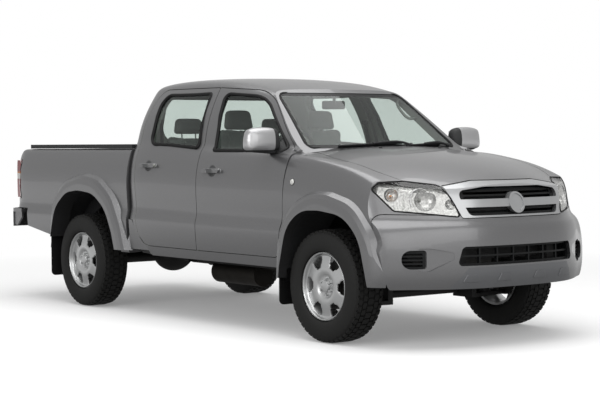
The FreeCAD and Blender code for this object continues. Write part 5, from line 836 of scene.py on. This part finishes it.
# Head-rest posts, seat bases on rails, side shields and recliner knobs
knob = ((0, 0.034), (0.010, 0.033), (0.014, 0.028), (0.015, 0.0005))
bm = bmesh.new()
for hand, side in sides:
    for k in (-1, 1):
        for x, part, rest in ((seatLook["frontX"], "back", "rest"), (seatLook["restX"], "benchBack", "benchRest")):
            low, top = seatLook[part], seatLook[rest]
            spot = Vector((side * x + k * seatLook["postApart"], sum(low["y"]) / 2 + low["lean"], low["z"][1] - 0.03))
            tip = Vector((spot.x, sum(top["y"]) / 2 + top["lean"] / 2, top["z"][0] + 0.03))
            rodInto(bm, [spot, spot.lerp(tip, 0.5), tip], seatLook["post"])
        rail = side * seatLook["frontX"] + k * 0.17
        blockInto(bm, (rail - 0.018, -0.600, 0.585), (rail + 0.018, -0.190, 0.622), 0.005, 2)
newPiece("seatPosts", bm, "zincPlate", "chassis")
bm = bmesh.new()
for hand, side in sides:
    x, bench = side * seatLook["frontX"], side * seatLook["benchX"]
    blockInto(bm, (x - 0.215, -0.615, 0.620), (x + 0.215, -0.205, 0.728), 0.018, 3, (0.98, 1))
    for k in (-1, 1):
        barInto(bm, (x + k * 0.222, -0.310, 0.730), (0.012, 0.170, 0.070), 0.010)
        spinInto(bm, knob, 28, turnedTo((x + k * 0.233, -0.175, 0.800), (k, 0, 0)))
    blockInto(bm, (bench - 0.292, 0.105, 0.600), (bench + 0.292, 0.470, 0.728), 0.015)
newPiece("seatBases", bm, "grainedPlastic", "chassis")
print("seats placed")

# Safety belts: webbing from a pillar guide down to a reel slot, with its buckle stalk
beltLook = {"wide": 0.024, "thick": 0.0012,
            "front": ((0.672, -0.240, 1.430), (0.717, -0.240, 1.300), (0.735, -0.240, 1.100), (0.746, -0.240, 0.900),
                      (0.754, -0.240, 0.740)),
            "rear": ((0.640, 0.560, 1.480), (0.630, 0.575, 1.300), (0.628, 0.560, 1.000))}
bm = bmesh.new()
for hand, side in sides:
    for row in ("front", "rear"):
        verts = [[bm.verts.new((side * x, y + k * beltLook["wide"], z)) for k in (-1, 1)] for x, y, z in beltLook[row]]
        strip = [bm.faces.new((a[0], a[1], b[1], b[0])) for a, b in zip(verts, verts[1:])]
        bmesh.ops.solidify(bm, geom=strip, thickness=beltLook["thick"])
addModifier(newPiece("beltWebbing", bm, "beltWebbing", "chassis"), "SUBSURF", levels=2, render_levels=2)
bm = bmesh.new()
for hand, side in sides:
    barInto(bm, (side * 0.676, -0.240, 1.425), (0.009, 0.030, 0.015), 0.007)
    x = side * (seatLook["frontX"] - 0.245)
    rodInto(bm, [(x, -0.190, 0.640), (x, -0.200, 0.780), (x, -0.215, 0.850)], 0.006)
    barInto(bm, (x, -0.217, 0.8725), (0.016, 0.015, 0.0325), 0.006)
newPiece("beltBuckles", bm, "grainedPlastic", "chassis")

# Mirror on the header, sun visors and grab handles
headerLook = {"mirror": (0.0, -0.715, 1.540), "visorY": -0.770, "visorX": 0.300, "drop": 0.022,
              "grab": ((0.604, -0.915, 1.446), (0.583, -0.892, 1.437), (0.558, -0.852, 1.455), (0.533, -0.806, 1.520),
                       (0.531, -0.786, 1.560), (0.550, -0.786, 1.588))}
headerZ = touch("cab_shell", (headerLook["visorX"], -0.700, 1.4), (0, 0, 1))[0].z
x, y, z = headerLook["mirror"]
bm = bmesh.new()
blockInto(bm, (-0.088, -0.012, -0.030), (0.088, 0.014, 0.030), 0.012, 4,
          place=Matrix.Translation((x, y, z)) @ Matrix.Rotation(math.radians(-14), 4, "Z"))
rodInto(bm, [(x, y - 0.005, z + 0.010), (x, y - 0.010, (z + headerZ) / 2 + 0.010), (x, y - 0.010, headerZ - 0.004)],
        0.011)
blockInto(bm, (x - 0.035, y - 0.040, headerZ - 0.022), (x + 0.035, y + 0.025, headerZ - 0.001), 0.008)
newPiece("cabinMirror", bm, "grainedPlastic", "chassis")
bm = bmesh.new()
for hand, side in sides:
    spot, normal = touch("cab_shell", (side * 0.480, headerLook["visorY"] + 0.03, 1.4), (0, 0, 1))
    place = Matrix.Translation((side * headerLook["visorX"], headerLook["visorY"], spot.z - headerLook["drop"]))
    blockInto(bm, (-0.185, 0, -0.008), (0.185, 0.140, 0.008), 0.0075,
              place=place @ Matrix.Rotation(math.radians(5), 4, "X"))
newPiece("sunVisors", bm, "trimPlastic", "chassis")
bm = bmesh.new()
for hand, side in sides:
    rodInto(bm, [(side * x, y, z) for x, y, z in headerLook["grab"]], 0.0105)
newPiece("grabHandles", bm, "trimPlastic", "chassis")

# Steering wheel pad, column shroud and stalks
columnLook = {"centre": (-0.38, -0.7455, 1.1662), "way": (0, 0.9063, 0.4226), "stalk": 0.0062,
              "hub": ((-0.062, -0.050, 0.006), (0.062, 0.058, 0.046)),
              "shroud": ((-0.190, 0.058), (-0.060, 0.052), (-0.004, 0.044), (0, 0.038), (0.001, 0.0005)),
              "line": ((0.030, 0, 0), (0.100, 0.010, 0.012), (0.165, 0.026, 0.022))}
columnWay = Vector(columnLook["way"])
columnTop = Vector(columnLook["centre"]) - columnWay * 0.030
bm = bmesh.new()
blockInto(bm, *columnLook["hub"], 0.020, 4, (0.82, 0.80), turnedTo(columnLook["centre"], columnWay, "Z"))
steeringPad = newPiece("steeringPad", bm, "dashSkin", "steering_wheel")
addModifier(steeringPad, "SUBSURF", levels=1, render_levels=1)
bm = bmesh.new()
spinInto(bm, columnLook["shroud"], 32, turnedTo(columnTop, columnWay))
root = columnTop - columnWay * 0.035
for side in (-1, 1):
    rodInto(bm, [root + Vector((side * x, y, z)) for x, y, z in columnLook["line"]], columnLook["stalk"])
newPiece("columnShroud", bm, "grainedPlastic", "chassis")
print("cabin fittings")

# Dash: hooded dials, centre vents, radio face, knobs and glove-box lid; levers between the seats
dashLook = {
    "hood": ((-0.535, -1.120, 1.150), (-0.225, -0.985, 1.238)), "dialX": (-0.445, -0.315), "dialZ": 1.178,
    "face": -0.958, "vents": (-0.075, 0.075), "ventZ": 1.115, "knobs": (-0.060, 0.0, 0.060), "knobZ": 0.905,
    "knob": ((0, 0.021), (0.012, 0.020), (0.020, 0.016), (0.021, 0.0005)), "leverZ": 0.690,
    "dial": ((-0.030, 0.052), (0.006, 0.052), (0.006, 0.047), (-0.006, 0.044), (-0.006, 0.0005)),
    "levers": ((-0.020, -0.720, 0.215), (0.045, -0.700, 0.130)),
    "leverKnob": ((-0.026, 0.010), (-0.016, 0.019), (0.002, 0.024), (0.018, 0.020), (0.027, 0.010), (0.029, 0.0005)),
    "boot": ((0, 0.046), (0.012, 0.040), (0.024, 0.036), (0.034, 0.026), (0.046, 0.012)),
}
face = dashLook["face"]
bm = bmesh.new()
blockInto(bm, *dashLook["hood"], 0.026, 4, (0.86, 0.8))
blockInto(bm, (-0.135, -1.020, 0.860), (0.135, face + 0.014, 1.165), 0.014, 3, (1.05, 1))
blockInto(bm, (0.190, -1.020, 0.905), (0.600, face + 0.008, 1.045), 0.012)
blockInto(bm, (-0.085, -0.975, 0.600), (0.085, -0.420, 0.700), 0.020, 3, (0.8, 1))
newPiece("dashParts", bm, "dashSkin", "chassis")
bm = bmesh.new()
for x in dashLook["vents"]:
    for k in range(-2, 3):
        barInto(bm, (x, face + 0.012, dashLook["ventZ"] + 0.012 * k), (0.046, 0.008, 0.0022), 0.002, 2)
for z, tall in ((1.045, 0.024), (0.985, 0.020)):
    barInto(bm, (0, face + 0.0125, z), (0.092, 0.0065, tall), 0.004, 2)
for x in dashLook["knobs"]:
    spinInto(bm, dashLook["knob"], 28, turnedTo((x, face + 0.012, dashLook["knobZ"]), (0, 1, 0)))
for x in dashLook["dialX"]:
    spinInto(bm, dashLook["dial"], 40, turnedTo((x, -0.992, dashLook["dialZ"]), (0, 1, 0.15)))
for x, y, tall in dashLook["levers"]:
    low, high = dashLook["leverZ"], dashLook["leverZ"] + tall
    rodInto(bm, [(x, y, low), (x, y + 0.010, low + tall * 0.5), (x, y + 0.028, high)], 0.007)
    spinInto(bm, dashLook["leverKnob"], 28, turnedTo((x, y + 0.030, high), (0, 0.1, 1)))
    spinInto(bm, dashLook["boot"], 24, turnedTo((x, y, low - 0.002), (0, 0, 1)))
newPiece("dashControls", bm, "satinBlackPlastic", "chassis")

# Floor mats with a raised rim and ribs
matLook = {"places": ((-1.060, -0.680, 0.150, 0.580), (-0.090, 0.070, 0.130, 0.600)), "ribApart": 0.032}
bm = bmesh.new()
for hand, side in sides:
    for y0, y1, x0, x1 in matLook["places"]:
        x, half = side * (x0 + x1) / 2, (x1 - x0) / 2
        spot, normal = touch("cab_shell", (x, (y0 + y1) / 2, 0.72), (0, 0, -1))
        if spot is None:
            continue
        z = spot.z + 0.001
        blockInto(bm, (x - half, y0, z), (x + half, y1, z + 0.008), 0.003, 2)
        for k in range(int((y1 - y0) / matLook["ribApart"])):
            barInto(bm, (x, y0 + 0.022 + matLook["ribApart"] * k, z + 0.0095), (half * 0.88, 0.004, 0.0025), 0.002, 2)
newPiece("floorMats", bm, "sealRubber", "chassis")


# A grid of corners with shares from 0 to 1 each way
def gridInto(bm, wide, high):
    verts = bmesh.ops.create_grid(bm, x_segments=wide, y_segments=high, size=0.5)["verts"]
    return [(vert, vert.co.x + 0.5, vert.co.y + 0.5) for vert in verts]


# Door cards: a trim skin laid over each door's inner face, with an armrest, pull, release and winder
cardLook = {"front": (-1.130, -0.290, 0.640, 1.165), "rear": (-0.120, 0.330, 0.640, 1.190), "lift": 0.004,
            "thick": 0.004, "farthest": 0.885, "winder": ((0, 0.022), (0.016, 0.019), (0.020, 0.014), (0.021, 0.0005))}
for hand, side in sides:
    flip = Matrix.Diagonal((side, 1, 1, 1))
    for row in ("front", "rear"):
        door = "door_%s_%s" % (row, hand)
        y0, y1, z0, z1 = cardLook[row]
        bm = bmesh.new()
        missing = []
        for vert, u, w in gridInto(bm, 14, 10):
            y, z = y0 + u * (y1 - y0), z0 + w * (z1 - z0)
            spot, normal = touch(door, (side * 0.3, y, z), (side, 0, 0))
            if spot is None or abs(spot.x) > cardLook["farthest"]:
                missing.append(vert)
            else:
                vert.co = (spot.x - side * cardLook["lift"], y, z)
        bmesh.ops.delete(bm, geom=missing, context="VERTS")
        if bm.faces:
            pushOut(bm, bm.faces[:], (-side * cardLook["thick"], 0, 0))
        spot, normal = touch(door, (side * 0.3, (y0 + y1) / 2, 0.96), (side, 0, 0))
        inner = abs(spot.x) if spot else 0.83
        blockInto(bm, (inner - 0.062, y0 + 0.16, 0.930), (inner - 0.002, y1 - 0.06, 0.975), 0.014, 3, place=flip)
        blockInto(bm, (inner - 0.034, y0 + 0.10, 0.660), (inner - 0.002, y1 - 0.10, 0.760), 0.010, 3, place=flip)
        newPiece("doorCard_%s_%s" % (row, hand), bm, "trimPlastic", door)
        bm = bmesh.new()
        blockInto(bm, (inner - 0.020, y0 + 0.10, 1.035), (inner - 0.003, y0 + 0.20, 1.075), 0.006, 3, place=flip)
        spinInto(bm, cardLook["winder"], 28, turnedTo((side * (inner - 0.003), y0 + 0.24, 0.850), (-side, 0, 0)))
        rodInto(bm, [(side * (inner - 0.020), y0 + 0.24, 0.850), (side * (inner - 0.034), y0 + 0.29, 0.858),
                     (side * (inner - 0.036), y0 + 0.35, 0.866)], 0.0075)
        newPiece("doorWinder_%s_%s" % (row, hand), bm, "grainedPlastic", door)
print("dash, mats and door cards")

# Tail lamps wrap on to the bed sides; the step bumper has a ribbed pad; bare plate with its lamp; bed rings
tailShape = {"y": (2.418, 2.486), "z": (0.835, 1.143), "proud": 0.0035, "least": 0.80, "edge": 0.855, "bow": 0.030}
for hand, side in sides:
    bm = bmesh.new()
    for vert, u, w in gridInto(bm, 6, 22):
        t = 2 * w - 1
        front = tailShape["y"][0] + tailShape["bow"] * t ** 4
        y = front + u * (tailShape["y"][1] - front)
        z = tailShape["z"][0] + w * (tailShape["z"][1] - tailShape["z"][0])
        spot = touchSide("cargo_bed", side, y, z)[0]
        reach = abs(spot.x) if spot and abs(spot.x) > tailShape["least"] else tailShape["edge"]
        vert.co = (side * (reach + 0.0010 + tailShape["proud"] * (1 - t ** 4)), y, z)
    pushOut(bm, bm.faces[:], (-side * 0.004, 0, 0))
    newPiece("tailLens_" + hand, bm, "tailLampAcrylic", "chassis")
    makeSeal("tailGasket_" + hand, "chassis", "tail_lamps", 0, 2, 1, 1, sealLook["lamp"], side)
stepLook = {"x": 0.555, "half": 0.305, "y": (2.500, 2.598), "ribs": 8, "ribApart": 0.034, "ribHalf": 0.006,
            "ribY": (2.508, 2.590), "sweep": 0.127, "straight": 0.428}
bm = bmesh.new()
for hand, side in sides:
    z = touch("bumper_rear", (side * 0.62, 2.56, 1.2), (0, 0, -1))[0].z
    centre = side * stepLook["x"]
    blockInto(bm, (centre - stepLook["half"], stepLook["y"][0], z - 0.004),
              (centre + stepLook["half"], stepLook["y"][1], z + 0.002), 0.0018, 2)
    for k in range(-stepLook["ribs"], stepLook["ribs"] + 1):
        x = centre + k * stepLook["ribApart"]
        blockInto(bm, (x - stepLook["ribHalf"], stepLook["ribY"][0], z - 0.001),
                  (x + stepLook["ribHalf"], stepLook["ribY"][1], z + 0.0045), 0.0020, 2)
for vert in bm.verts:  # follows the swept-back ends of the bumper
    vert.co.y -= stepLook["sweep"] * max(0, abs(vert.co.x) - stepLook["straight"])
newPiece("stepPads", bm, "grainedPlastic", "chassis")
rear = touch("bumper_rear", (0.0, 4, 0.668), (0, -1, 0))[0].y
bm = bmesh.new()
blockInto(bm, (-0.258, rear - 0.002, 0.612), (0.258, rear + 0.004, 0.722), 0.0018, 2)
newPiece("barePlate", bm, "milkyPlastic", "chassis")
ringLine = ((0.012, -0.030, 0), (0, -0.030, 0), (-0.008, 0, -0.012), (0, 0.030, 0), (0.012, 0.030, 0))
bm = bmesh.new()
for side in (-1, 1):
    blockInto(bm, (side * 0.300 - 0.024, rear - 0.030, 0.700), (side * 0.300 + 0.024, rear + 0.004, 0.732), 0.006)
    for y in (0.950, 2.250):
        spot, normal = touch("cargo_bed", (0, y, 1.130), (side, 0, 0))
        rodInto(bm, [(spot.x + side * (a - 0.012), y + b, 1.130 + c) for a, b, c in ringLine], 0.0055)
newPiece("tieRings", bm, "zincPlate", "chassis")

# Closed painted ends of the step bumper
endLook = {"line": ((2.398, 0.731), (2.552, 0.731), (2.556, 0.712), (2.556, 0.618), (2.545, 0.603), (2.478, 0.600),
                    (2.398, 0.672)), "x": 0.852, "thick": 0.0155}
bm = bmesh.new()
for side in (-1, 1):
    cap = bm.faces.new([bm.verts.new((side * endLook["x"], y, z)) for y, z in endLook["line"]])
    pushOut(bm, [cap], (side * endLook["thick"], 0, 0))
newPiece("bumperEnds", bm, "silverPaint", "chassis", smoothDeg=10)

# Painted lower corner of the cab behind each rear door; edge and skin give y and x at a height
cornerLook = {
    "edge": ((0.490, 0.405), (0.512, 0.420), (0.535, 0.470), (0.575, 0.515), (0.620, 0.552), (0.660, 0.577),
             (0.706, 0.612)),
    "skin": ((0.490, 0.8625), (0.550, 0.8690), (0.600, 0.8738), (0.650, 0.8778), (0.706, 0.8812)),
    "back": 0.656, "sink": 0.0012, "thick": 0.004}


def between(rows, z):
    for (z0, a), (z1, b) in zip(rows, rows[1:]):
        if z <= z1:
            break
    return a + (b - a) * (z - z0) / (z1 - z0)


for hand, side in sides:
    bm = bmesh.new()
    low, high = cornerLook["edge"][0][0], cornerLook["edge"][-1][0]
    for vert, u, w in gridInto(bm, 8, 14):
        z = low + w * (high - low)
        start = between(cornerLook["edge"], z)
        skin = between(cornerLook["skin"], z) - cornerLook["sink"]
        vert.co = (side * skin, start + u * (cornerLook["back"] - start), z)
    bmesh.ops.solidify(bm, geom=bm.faces[:], thickness=side * cornerLook["thick"])
    newPiece("cabCorner_" + hand, bm, "silverPaint", "chassis")

# Stays that close the gap between the front flaps and the arch linings
stayLook = {"x": (0.605, 0.855), "line": ((-1.2440, 0.340), (-1.2560, 0.400), (-1.2900, 0.500)), "thick": 0.004}
bm = bmesh.new()
for hand, side in sides:
    strip = [[bm.verts.new((side * x, y, z)) for x in stayLook["x"]] for y, z in stayLook["line"]]
    faces = [bm.faces.new((a[0], a[1], b[1], b[0])) for a, b in zip(strip, strip[1:])]
    bmesh.ops.solidify(bm, geom=faces, thickness=stayLook["thick"])
newPiece("flapStays", bm, "grainedPlastic", "chassis")

# Fuel flap on the left bed side: a thin round-cornered lid that follows the skin
flapLook = {"middle": (0.9075, 1.060), "half": (0.0775, 0.075), "lift": 0.0012, "thick": 0.0016, "square": 0.22}
bm = bmesh.new()
for vert, u, w in gridInto(bm, 10, 10):
    u, w = 2 * u - 1, 2 * w - 1
    u, w = u * math.sqrt(1 - flapLook["square"] * w * w), w * math.sqrt(1 - flapLook["square"] * u * u)
    y, z = flapLook["middle"][0] + u * flapLook["half"][0], flapLook["middle"][1] + w * flapLook["half"][1]
    vert.co = (touchSide("cargo_bed", 1, y, z)[0].x + flapLook["lift"], y, z)
pushOut(bm, bm.faces[:], (flapLook["thick"], 0, 0))
newPiece("fuelFlap", bm, "silverPaint", "chassis")

# Four shallow raised pads on the skid panel, narrower at the top
skidLook = {"centres": (-0.395, -0.150, 0.150, 0.395), "low": 0.420, "high": 0.468, "wide": 0.115, "proud": 0.004}
bm = bmesh.new()
for centre in skidLook["centres"]:
    for vert, u, w in gridInto(bm, 8, 4):
        x = centre + (u - 0.5) * skidLook["wide"] * (1 - 0.35 * w)
        z = skidLook["low"] + w * (skidLook["high"] - skidLook["low"])
        vert.co = (x, touch("skid_panel", (x, -4, z), (0, 1, 0))[0].y - skidLook["proud"], z)
pushOut(bm, bm.faces[:], (0, skidLook["proud"] + 0.002, 0))
addModifier(newPiece("skidPads", bm, "satinSilver", "chassis"), "BEVEL", width=0.002, segments=2)
print("tail, bumper and bed fittings")

# Rear wheel-arch linings: a curved skin over each rear wheel, inside the bed side
archLook = {"line": ((0.590, 0.430), (0.590, 0.545), (0.7125, 0.545), (0.840, 0.545)), "wall": 0.004,
            "from": 8, "to": 163, "steps": 30}
for hand, side in sides:
    hub = middle("tyre_rear_" + hand)
    start = math.radians(archLook["from"])
    y, z = math.cos(start), math.sin(start)
    bm = bmesh.new()
    ends = [bm.verts.new((side * x, hub.y + r * y, hub.z + r * z)) for x, r in archLook["line"]]
    edges = [bm.edges.new(pair) for pair in zip(ends, ends[1:])]
    bmesh.ops.spin(bm, geom=ends + edges, cent=hub, axis=(1, 0, 0), steps=archLook["steps"], use_merge=False,
                   angle=math.radians(archLook["to"] - archLook["from"]))
    bmesh.ops.recalc_face_normals(bm, faces=bm.faces)
    bmesh.ops.solidify(bm, geom=bm.faces[:], thickness=archLook["wall"])
    newPiece("rearArchLining_" + hand, bm, "grainedPlastic", "chassis")

# Brake discs and calipers behind the front wheels, drums behind the rear
brakeLook = {"front": ((-0.024, 0.052), (-0.024, 0.148), (-0.002, 0.148), (-0.002, 0.070), (0.020, 0.066),
                       (0.020, 0.030), (0.020, 0.0005)),
             "rear": ((-0.060, 0.150), (0.006, 0.150), (0.014, 0.142), (0.016, 0.080), (0.020, 0.0005)),
             "caliperX": 0.745}
for hand, side in sides:
    for row in ("front", "rear"):
        tail = "%s_%s" % (row, hand)
        bm = bmesh.new()
        spinInto(bm, brakeLook[row], 64, turnedTo(middle("tyre_" + tail) + Vector((side * 0.004, 0, 0)), (side, 0, 0)))
        newPiece("brake_" + tail, bm, "castIron", "wheel_" + tail)
    hub = middle("tyre_front_" + hand)
    bm = bmesh.new()
    barInto(bm, (side * brakeLook["caliperX"] - 0.008, hub.y + 0.128, hub.z), (0.028, 0.030, 0.060), 0.014)
    newPiece("caliper_" + hand, bm, "castIron", "knuckle_" + hand)
print("arch linings and brakes")

# Under the bonnet: radiator and fan shroud, engine cover, air box and duct, battery, washer bottle, brake servo
bayLook = {
    "radiator": ((-0.335, -2.285, 0.560), (0.335, -2.235, 0.930)),
    "shroud": ((-0.300, -2.236, 0.575), (0.300, -2.190, 0.915)),
    "cover": ((-0.190, -1.990, 0.975), (0.190, -1.480, 1.020)),
    "airBox": ((0.330, -1.980, 0.780), (0.560, -1.730, 0.930)),
    "battery": ((-0.560, -2.080, 0.760), (-0.350, -1.880, 0.900)),
    "bottle": ((-0.560, -1.820, 0.740), (-0.400, -1.660, 0.900)),
    "fan": ((0, 0.165), (0.030, 0.160), (0.034, 0.155), (0.012, 0.150), (0.012, 0.0005)),
    "duct": ((0.440, -1.740, 0.850), (0.430, -1.600, 0.900), (0.330, -1.540, 0.930), (0.200, -1.560, 0.940)),
    "hose": ((0.240, -2.190, 0.880), (0.220, -2.120, 0.930), (0.160, -2.060, 0.930), (0.140, -2.000, 0.900)),
    "servo": ((-0.050, 0.040), (-0.045, 0.100), (0.005, 0.108), (0.045, 0.096), (0.062, 0.040), (0.130, 0.026),
              (0.132, 0.0005)),
    "lid": ((0, 0.030), (0.018, 0.030), (0.022, 0.026), (0.023, 0.0005)), "fins": 30, "finApart": 0.012,
}
bm = bmesh.new()
blockInto(bm, *bayLook["radiator"], 0.008, 2)
for k in range(bayLook["fins"]):
    barInto(bm, (0, -2.287, bayLook["radiator"][0][2] + bayLook["finApart"] * (k + 1)), (0.318, 0.003, 0.003), 0.001, 1)
newPiece("radiator", bm, "finnedAluminium", "chassis")
bm = bmesh.new()
blockInto(bm, *bayLook["shroud"], 0.014)
spinInto(bm, bayLook["fan"], 48, turnedTo((0, bayLook["shroud"][1][1], 0.745), (0, 1, 0)))
blockInto(bm, *bayLook["airBox"], 0.020, 4, (0.94, 0.94))
blockInto(bm, *bayLook["battery"], 0.008)
blockInto(bm, *bayLook["cover"], 0.018, 4, (0.9, 0.94))
for k in range(-2, 3):
    blockInto(bm, (k * 0.062 - 0.010, -1.950, 1.016), (k * 0.062 + 0.010, -1.520, 1.027), 0.004, 2)
rodInto(bm, bayLook["duct"], 0.034, 6)
rodInto(bm, bayLook["hose"], 0.021, 5)
spinInto(bm, bayLook["servo"], 48, turnedTo((-0.400, -1.505, 0.960), (0, -1, 0)))
newPiece("bayFittings", bm, "grainedPlastic", "chassis")
bm = bmesh.new()
blockInto(bm, *bayLook["bottle"], 0.020, 4, (0.9, 0.9))
spinInto(bm, bayLook["lid"], 28, turnedTo((-0.480, -1.740, 0.898), (0, 0, 1)))
newPiece("washerBottle", bm, "milkyPlastic", "chassis")
print("engine bay")

# Stage: white sweep, plain soft lamps
stageLook = {"floor": "#f4f4f4", "bounce": "#7c7c7c", "white": 1.0, "light": 0.62, "fade": (3.0, 7.0), "lift": 0.2}
white = (1, 1, 1, 1)
floorMaterial, tree, place = newMaterial("paleFloor")
rays = addNode(tree, "LightPath").outputs
matte, dim = (addNode(tree, "BsdfPrincipled", {"Base Color": stageLook[tone], "Roughness": 0.9,
                                               "Specular IOR Level": 0.1}) for tone in ("floor", "bounce"))
lit = addNode(tree, "MixShader", {0: rays["Is Camera Ray"], 1: dim, 2: matte})
glow = addNode(tree, "Emission", {"Color": white, "Strength": stageLook["white"]})
reach = addNode(tree, "VectorMath", {0: place}, operation="LENGTH").outputs["Value"]
fade = addNode(tree, "MapRange", {"Value": reach, "From Min": stageLook["fade"][0], "From Max": stageLook["fade"][1],
                                  "To Min": stageLook["lift"], "To Max": 1.0})
seen = addNode(tree, "Math", {0: rays["Is Camera Ray"], 1: rays["Is Glossy Ray"]}, operation="MAXIMUM")
share = addNode(tree, "Math", {0: fade, 1: seen}, operation="MULTIPLY")
bm = bmesh.new()
bmesh.ops.create_grid(bm, x_segments=1, y_segments=1, size=40)
mesh = bpy.data.meshes.new("floor")
bm.to_mesh(mesh)
bm.free()
mesh.materials.append(closed(floorMaterial, addNode(tree, "MixShader", {0: share, 1: lit, 2: glow})))
floor = bpy.data.objects.new("floor", mesh)
scene.collection.objects.link(floor)

world = bpy.data.worlds.new("studio")
scene.world = world
world.use_nodes = True
tree = world.node_tree
tree.nodes.clear()
rays = addNode(tree, "LightPath").outputs
seen = addNode(tree, "Math", {0: rays["Is Camera Ray"], 1: rays["Is Transmission Ray"]}, operation="MAXIMUM")
soft, bright = (addNode(tree, "Background", {"Color": white, "Strength": stageLook[power]})
                for power in ("light", "white"))
addNode(tree, "OutputWorld", {"Surface": addNode(tree, "MixShader", {0: seen, 1: soft, 2: bright})})

lamps = {
    "overhead": {"place": (-0.5, -1.0, 6.5), "aim": (0, 0, 0.8), "size": (7.0, 9.0), "watts": 420},
    "nearSide": {"place": (-8.0, -3.0, 3.2), "aim": (0, -0.2, 0.9), "size": (6.0, 2.5), "watts": 190},
    "front": {"place": (-2.0, -9.0, 3.6), "aim": (0, -1.5, 0.8), "size": (9.0, 4.0), "watts": 160},
}
for name, lamp in lamps.items():
    light = bpy.data.lights.new(name, "AREA")
    light.shape = "RECTANGLE"
    light.size, light.size_y = lamp["size"]
    light.energy = lamp["watts"]
    holder = bpy.data.objects.new(name, light)
    holder.location = lamp["place"]
    holder.rotation_mode = "QUATERNION"
    holder.rotation_quaternion = (Vector(lamp["aim"]) - Vector(lamp["place"])).to_track_quat("-Z", "Y")
    scene.collection.objects.link(holder)

cameraLook = {"place": (-7.06705, -9.64754, 1.28815), "yawDeg": 37.1239, "pitchDeg": -2.1245, "rollDeg": -0.4410,
              "lens": 95.82}
camera = bpy.data.objects.new("camera", bpy.data.cameras.new("camera"))
camera.data.lens = cameraLook["lens"]
yaw, pitch, roll = (math.radians(cameraLook[k]) for k in ("yawDeg", "pitchDeg", "rollDeg"))
ahead = Vector((math.sin(yaw) * math.cos(pitch), math.cos(yaw) * math.cos(pitch), math.sin(pitch)))
right = ahead.cross(Vector((0, 0, 1))).normalized()
turned = right * math.cos(roll) + right.cross(ahead) * math.sin(roll)
basis = Matrix((turned, turned.cross(ahead), -ahead)).transposed()
camera.matrix_world = Matrix.Translation(cameraLook["place"]) @ basis.to_4x4()
scene.collection.objects.link(camera)
scene.camera = camera
scene.view_settings.view_transform = "Standard"
print("stage, lamps and camera")
